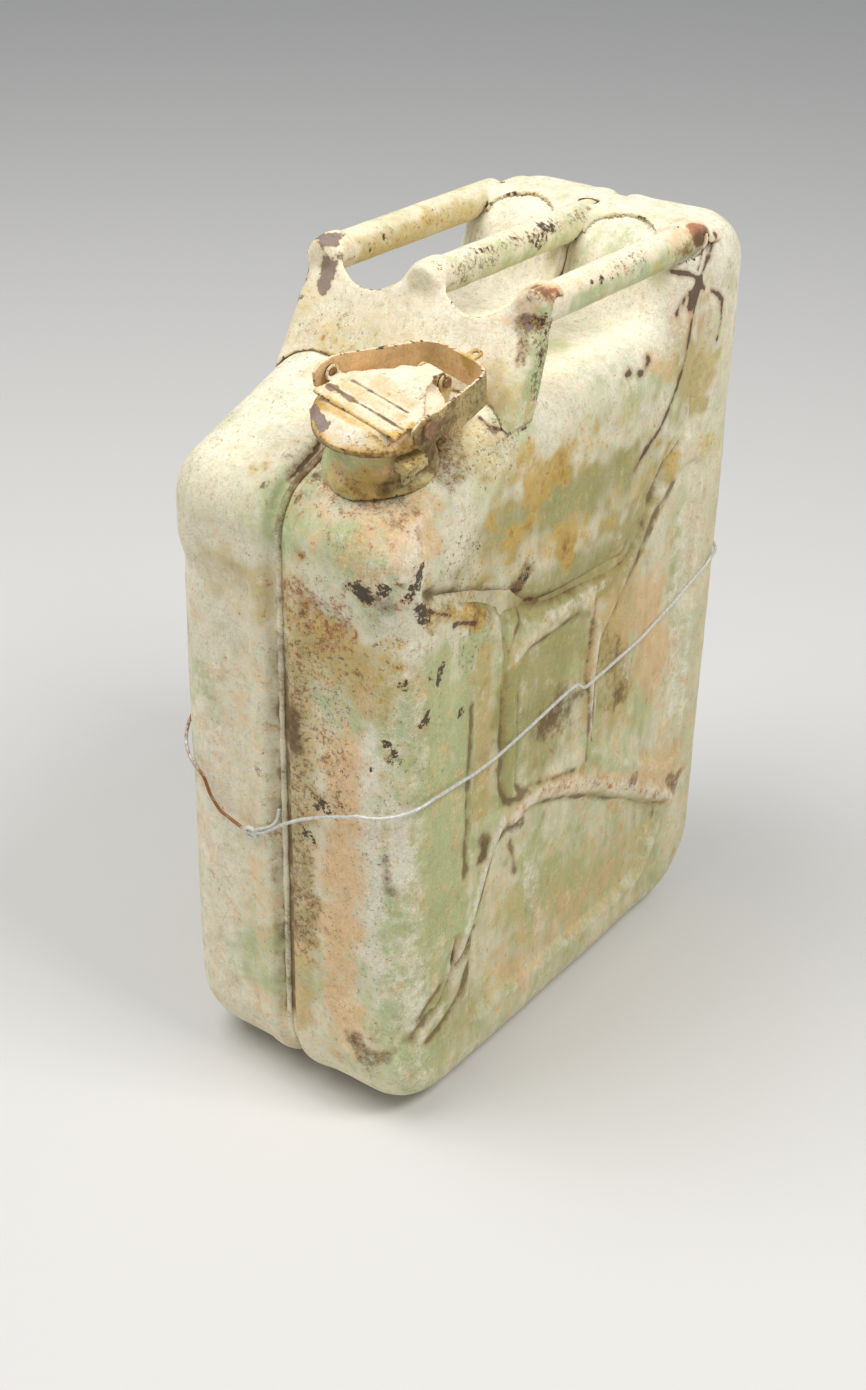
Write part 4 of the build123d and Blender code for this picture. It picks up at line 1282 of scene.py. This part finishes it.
def weather_and_painted_light_body(piece, side):
    """Fills the wear and painted light of a half body: general tints, painted highlights on convex bends, dirt and
    painted shade in hollows, then the marks.
    """
    points = places(piece)
    x, y, z = points.T
    broad = ease(HALF_WIDTH - 14, HALF_WIDTH - 2, np.abs(x))
    front = ease(-HALF_LENGTH + 26, -HALF_LENGTH + 6, y)
    corner = ease(-HALF_LENGTH + 62, -HALF_LENGTH + 44, y) * ease(52, 70, np.abs(x))
    low = ease(335, 290, z)
    below = ease(320, 280, z)
    top = ease(380, 420, z)
    bend = curvature(piece, 6)
    height, out = off_neck_axis(points)
    foot = ease(44, 27, np.linalg.norm(out, axis=1)) * ease(25, 15, np.abs(height))
    edge = ease(0.006, 0.03, -bend)
    # Darker olive on the broad sides, more towards the bottom.
    add_wear_and_painted_light(piece, "olive", broad * (0.36 * low + 0.06))
    add_wear_and_painted_light(piece, "tan", broad * 0.1 * low + 0.15 * front)
    add_wear_and_painted_light(piece, "peach", 0.3 * front * low + 0.3 * broad * low)
    # Bone is paler towards the top, on the front and its corner; on the broad sides' convex bends it is a painted
    # highlight.
    add_wear_and_painted_light(piece, "bone", 0.5 * top + 0.15 * front + 0.25 * corner + 0.5 * broad * edge)
    add_wear_and_painted_light(piece, "green", 0.40 * broad * low + 0.55 * corner * below)
    # Dirt and painted shade in hollows; darker towards the bottom and round the neck's foot.
    add_wear_and_painted_light(piece, "dirt", 0.5 * ease(0.01, 0.06, bend) + 0.25 * ease(30, 0, z) + 0.2 * foot)
    add_wear_and_painted_light(piece, "specks", 0.5 * foot)
    add_wear_and_painted_light(piece, "chips", 0.35 * ease(0.02, 0.08, -bend) * ease(380, 320, z))
    shown = SIDE_MARKS
    if side < 0:
        shown = {"crease": [(HIDDEN_SHARPNESS * sharp, line) for sharp, line in SIDE_MARKS["crease"]]}
    mark(piece, moved_marks(shown, lambda kind, line: side_line(kind, line, side)), 2)
    if side < 0:
        mark(piece, HIDDEN_MARKS, 11)
    mark(piece, moved_marks(FRONT_MARKS, lambda kind, line: [(x, -HALF_LENGTH, z) for x, z in line]), 5)
    mark(piece, BODY_MARKS, 7)


def weather_and_painted_light_bail(piece):
    """The bail is darker outside, with olive, specks, dirt and painted shade, and has a painted highlight along
    its upper edge.
    """
    out = off_neck_axis(places(piece))[1]
    out /= np.linalg.norm(out, axis=1)[:, None]
    normals = vertex_normals(piece)
    outside = ease(0.2, 0.7, (normals * out).sum(axis=1))
    upper = ease(0.5, 0.9, normals @ np.array(NECK_AXIS))
    # Olive, specks, dirt and painted shade on the bail's outside.
    for kind, amount in (("olive", 1.3), ("specks", 1.0), ("dirt", 0.5)):
        add_wear_and_painted_light(piece, kind, amount * outside)
    # Painted highlight where the bail faces up.
    add_wear_and_painted_light(piece, "bone", 1.2 * upper)


# Neck hole, weld and wire

def cut_neck_hole(piece):
    """Opens the half body under the spout."""
    bpy.ops.mesh.primitive_cylinder_add(vertices=NECK_HOLE_SIDES, radius=NECK_HOLE * MM,
                                        depth=2 * NECK_HOLE * MM)
    cutter = bpy.context.object
    turn = Matrix((ACROSS, BACK, NECK_AXIS)).transposed().to_4x4()
    cutter.matrix_world = Matrix.Translation(NECK_BASE * MM) @ turn
    bpy.context.view_layer.update()
    cut = piece.modifiers.new("neck_hole", "BOOLEAN")
    cut.object = cutter
    cut.solver = "MANIFOLD"
    settle(piece)
    bpy.data.objects.remove(cutter)


def seam_bead():
    """The weld that stands in the groove all round."""
    ring = rounded(SIDE_OUTLINE, BEAD_STEP)
    line = np.column_stack((np.zeros(len(ring)), ring[:, :2] - ring[:, 2:] * (GROOVE_DEPTH - BEAD_RISE)))
    radii = BEAD_RADIUS * (1 + 0.14 * cloudy(line, 5.0, 21) + 0.1 * cloudy(line, 30.0, 22))
    piece = new_piece("seam_bead", *tube(line, radii, BEAD_SIDES, closed=True))
    points = places(piece)
    put_places(piece, points * (BEAD_STRETCH, 1, 1))
    take_place(piece, ["seam_weld"], "root", "shell_paint")
    add_wear_and_painted_light(piece, "dirt", 0.5 + 0.3 * cloudy(points, 20.0, 4))
    mark(piece, BODY_MARKS, 7)


# Wire as it runs in the photograph: y, z along the broad side from the rear, then x, z along the front
WIRE_SIDE = [(142, 254), (102, 242), (65, 233), (31, 229), (12, 227), (3, 226), (-5, 232.5), (-18, 231.5),
             (-45, 227.5), (-82, 222.5), (-110, 222), (-136, 224)]
WIRE_FRONT = [(51, 215), (30, 206), (16, 199), (2, 190), (-11, 180), (-22, 175), (-32, 178), (-43, 181),
              (-50, 189)]
WIRE_LOW = WIRE_FRONT[5]

# The body's corners in the wire's order. Columns: ways in x and y, the wire's heights before and after
WIRE_CORNERS = [(1, -1, 224.5, 217.5), (-1, -1, 200.0, 222.0), (-1, 1, 244.0, 248.0), (1, 1, 258.0, 257.0)]
CORNER_STEPS = 8

# The eye at the wire's lowest point, and its loose tail. The tail's columns: x, lift off the front, z
EYE_STEPS = 39
EYE_START = 0.1
EYE_TURNS = 1.3
EYE_SHIFT = (1.5, -0.2, 0.5)
EYE_REACH = (4.2, 0.9, 3.4)
TAIL = [(-16, 0.4, 180), (-10, 0, 183), (-4, 0, 187), (0, 0, 193), (1, 0, 200)]
TAIL_RADIUS = 0.92 * WIRE_RADIUS
WIRE_STEP = 1.5
WIRE_SIDES = 10


def wire_route():
    """Places along the wire's middle: the broad side, the front, the far side and the rear."""
    reach_x, reach_y = HALF_WIDTH + WIRE_LIFT, HALF_LENGTH + WIRE_LIFT
    corner = EDGE_ROUND + WIRE_LIFT
    line = [(reach_x, y, z) for y, z in WIRE_SIDE]
    for turned, (way_x, way_y, first, last) in enumerate(WIRE_CORNERS):
        centre_x, centre_y = way_x * (reach_x - corner), way_y * (reach_y - corner)
        for k in range(CORNER_STEPS + 1):
            share = k / CORNER_STEPS
            angle = -math.pi / 2 * (turned + share)
            line.append((centre_x + corner * math.cos(angle), centre_y + corner * math.sin(angle),
                         first + (last - first) * share))
        if turned == 0:
            line.extend((x, -reach_y, z) for x, z in WIRE_FRONT)
    return np.array(line)


def wire():
    """The wire loop, with the eye that closes it at its lowest point and the eye's loose tail."""
    route = wire_route()
    route = np.vstack((route, route[:1]))
    travel = travel_along(route)
    steps = round(travel[-1] / WIRE_STEP)
    line = soften(places_at(route, travel, np.linspace(0, travel[-1], steps, endpoint=False)), 4, closed=True)
    line[:, 2] += 0.4 * cloudy(line, 30.0, 31)
    vertices, faces = tube(line, [WIRE_RADIUS] * len(line), WIRE_SIDES, closed=True)
    front = -HALF_LENGTH - WIRE_LIFT
    middle = np.array((WIRE_LOW[0], front, WIRE_LOW[1])) + EYE_SHIFT
    angles = 2 * math.pi * (EYE_START + EYE_TURNS * np.arange(EYE_STEPS + 1) / EYE_STEPS)
    way = np.column_stack((np.cos(angles), np.sin(angles / 2), np.sin(angles)))
    eye = middle + way * EYE_REACH
    tail = np.array([(x, front - lift, z) for x, lift, z in TAIL])
    count = len(tail)
    tail = soften(places_at(tail, range(count), np.linspace(0, count - 1, 8 * count)), 20)
    for strand in (eye, tail):
        more, more_faces = tube(strand, [TAIL_RADIUS] * len(strand), WIRE_SIDES)
        faces += [tuple(len(vertices) + k for k in face) for face in more_faces]
        vertices = vertices + more
    piece = new_piece("wire_loop", vertices, faces)
    take_place(piece, ["wire_tie"], "root", "wire_zinc")
    add_wear_and_painted_light(piece, "amber", ease(-18, -34, places(piece)[:, 0]))


# The build

def finish_nodes(names, slot):
    """Gives CAD nodes that stay as they are their finish."""
    for name in names:
        NODES[name].data.materials.clear()
        NODES[name].data.materials.append(PAINTS[slot])


make_camera()
make_studio()

LIGHT_CREAM = tone(242, 230, 200)
PAINTS = {
    "shell_paint": old_paint("shell_paint"),
    "bracket_paint": old_paint("bracket_paint", base=LIGHT_CREAM, mottle=0.3),
    "tube_paint": old_paint("tube_paint", base=LIGHT_CREAM, mottle=0.3),
    "spout_paint": old_paint("spout_paint", base=tone(216, 198, 142), dirt=0.04),
    "lid_paint": old_paint("lid_paint", base=tone(244, 228, 200), mottle=0.1),
    "bail_paint": old_paint("bail_paint", base=tone(246, 206, 152), second=TAN, mottle=0.4),
    "worn_steel": worn_steel("worn_steel", tone(170, 142, 104), tone(104, 84, 58), 0.35),
    "wire_zinc": worn_steel("wire_zinc", tone(238, 236, 228), tone(186, 184, 176), 0.15, clean=0.22),
    "gasket_rubber": gasket_rubber(),
}

skins = []
for side, name in ((-1, "left_shell"), (1, "right_shell")):
    skin = body_shell(name + "_skin", side)
    skins.append(skin)
    if side > 0:
        cut_neck_hole(skin)
    take_place(skin, [name], "root", "shell_paint")
    weather_and_painted_light_body(skin, side)
seam_bead()

# The tubes' ends in the bracket and the saddle, a little thicker than the tubes, and how far from a tube's
# end each starts and stops
STUD_EXTRA = 0.3
FRONT_STUD = (1, 12)
REAR_STUD = (26, 8)
tubes = ["handle_tube_" + place for place in ("left", "centre", "right")]
front_studs, rear_studs = [], []
for node in tubes:
    low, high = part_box(node)
    middle = (low + high) / 2 / MM
    radius = (high.x - low.x) / 2 / MM + STUD_EXTRA
    front_studs.append((middle.x, middle.z, radius, *(low.y / MM + away for away in FRONT_STUD)))
    rear_studs.append((middle.x, middle.z, radius, *(high.y / MM - away for away in REAR_STUD)))
bracket = worn_copy_with_painted_shade("front_handle_bracket", 0.9, "root", "bracket_paint", smooth=6, dents=0.3,
                    studs=front_studs, melt=24, name="bracket_skin")
mark(bracket, BRACKET_MARKS)
saddle = worn_copy_with_painted_shade("rear_handle_saddle", 0.9, "root", "bracket_paint", smooth=5, dents=0.2,
                   studs=rear_studs, melt=30, name="saddle_skin")
press_on(saddle, skins, reach=2.5)
mark(saddle, BODY_MARKS)
mark(saddle, TUBE_MARKS)
for node in tubes:
    mark(worn_copy_with_painted_shade(node, 1.1, "root", "tube_paint", smooth=3, dents=0.15), TUBE_MARKS)
neck = worn_copy_with_painted_shade("spout_neck", 0.8, "root", "spout_paint", dents=0.2)
mark(neck, spout_marks(NECK_MARKS))
worn_copy_with_painted_shade("cam_lug_left", 0.5, "root", "spout_paint")
lug = worn_copy_with_painted_shade("cam_lug_right", 0.5, "root", "spout_paint", dirt=0.8)
mark(lug, spout_marks(LUG_MARKS))
worn_copy_with_painted_shade("hinge_lugs", 0.5, "root", "spout_paint", dirt=0.8)
lid = worn_copy_with_painted_shade("lid", 0.6, "lid", "lid_paint", dents=0.3)
mark(lid, LID_MARKS)
mark(lid, spout_marks(RIM_MARKS), 4)
strap = worn_copy_with_painted_shade("lid_strap", 0.5, "lid", "lid_paint", dents=0.2)
mark(strap, spout_marks(STRAP_MARKS))
bail = worn_copy_with_painted_shade("bail", 0.55, "bail", "bail_paint", dents=0.25)
mark(bail, spout_marks(BAIL_MARKS))
weather_and_painted_light_bail(bail)
wire()
finish_nodes(["hinge_pin", "vent_pipe", "bail_pins"], "worn_steel")
finish_nodes(["lid_gasket"], "gasket_rubber")
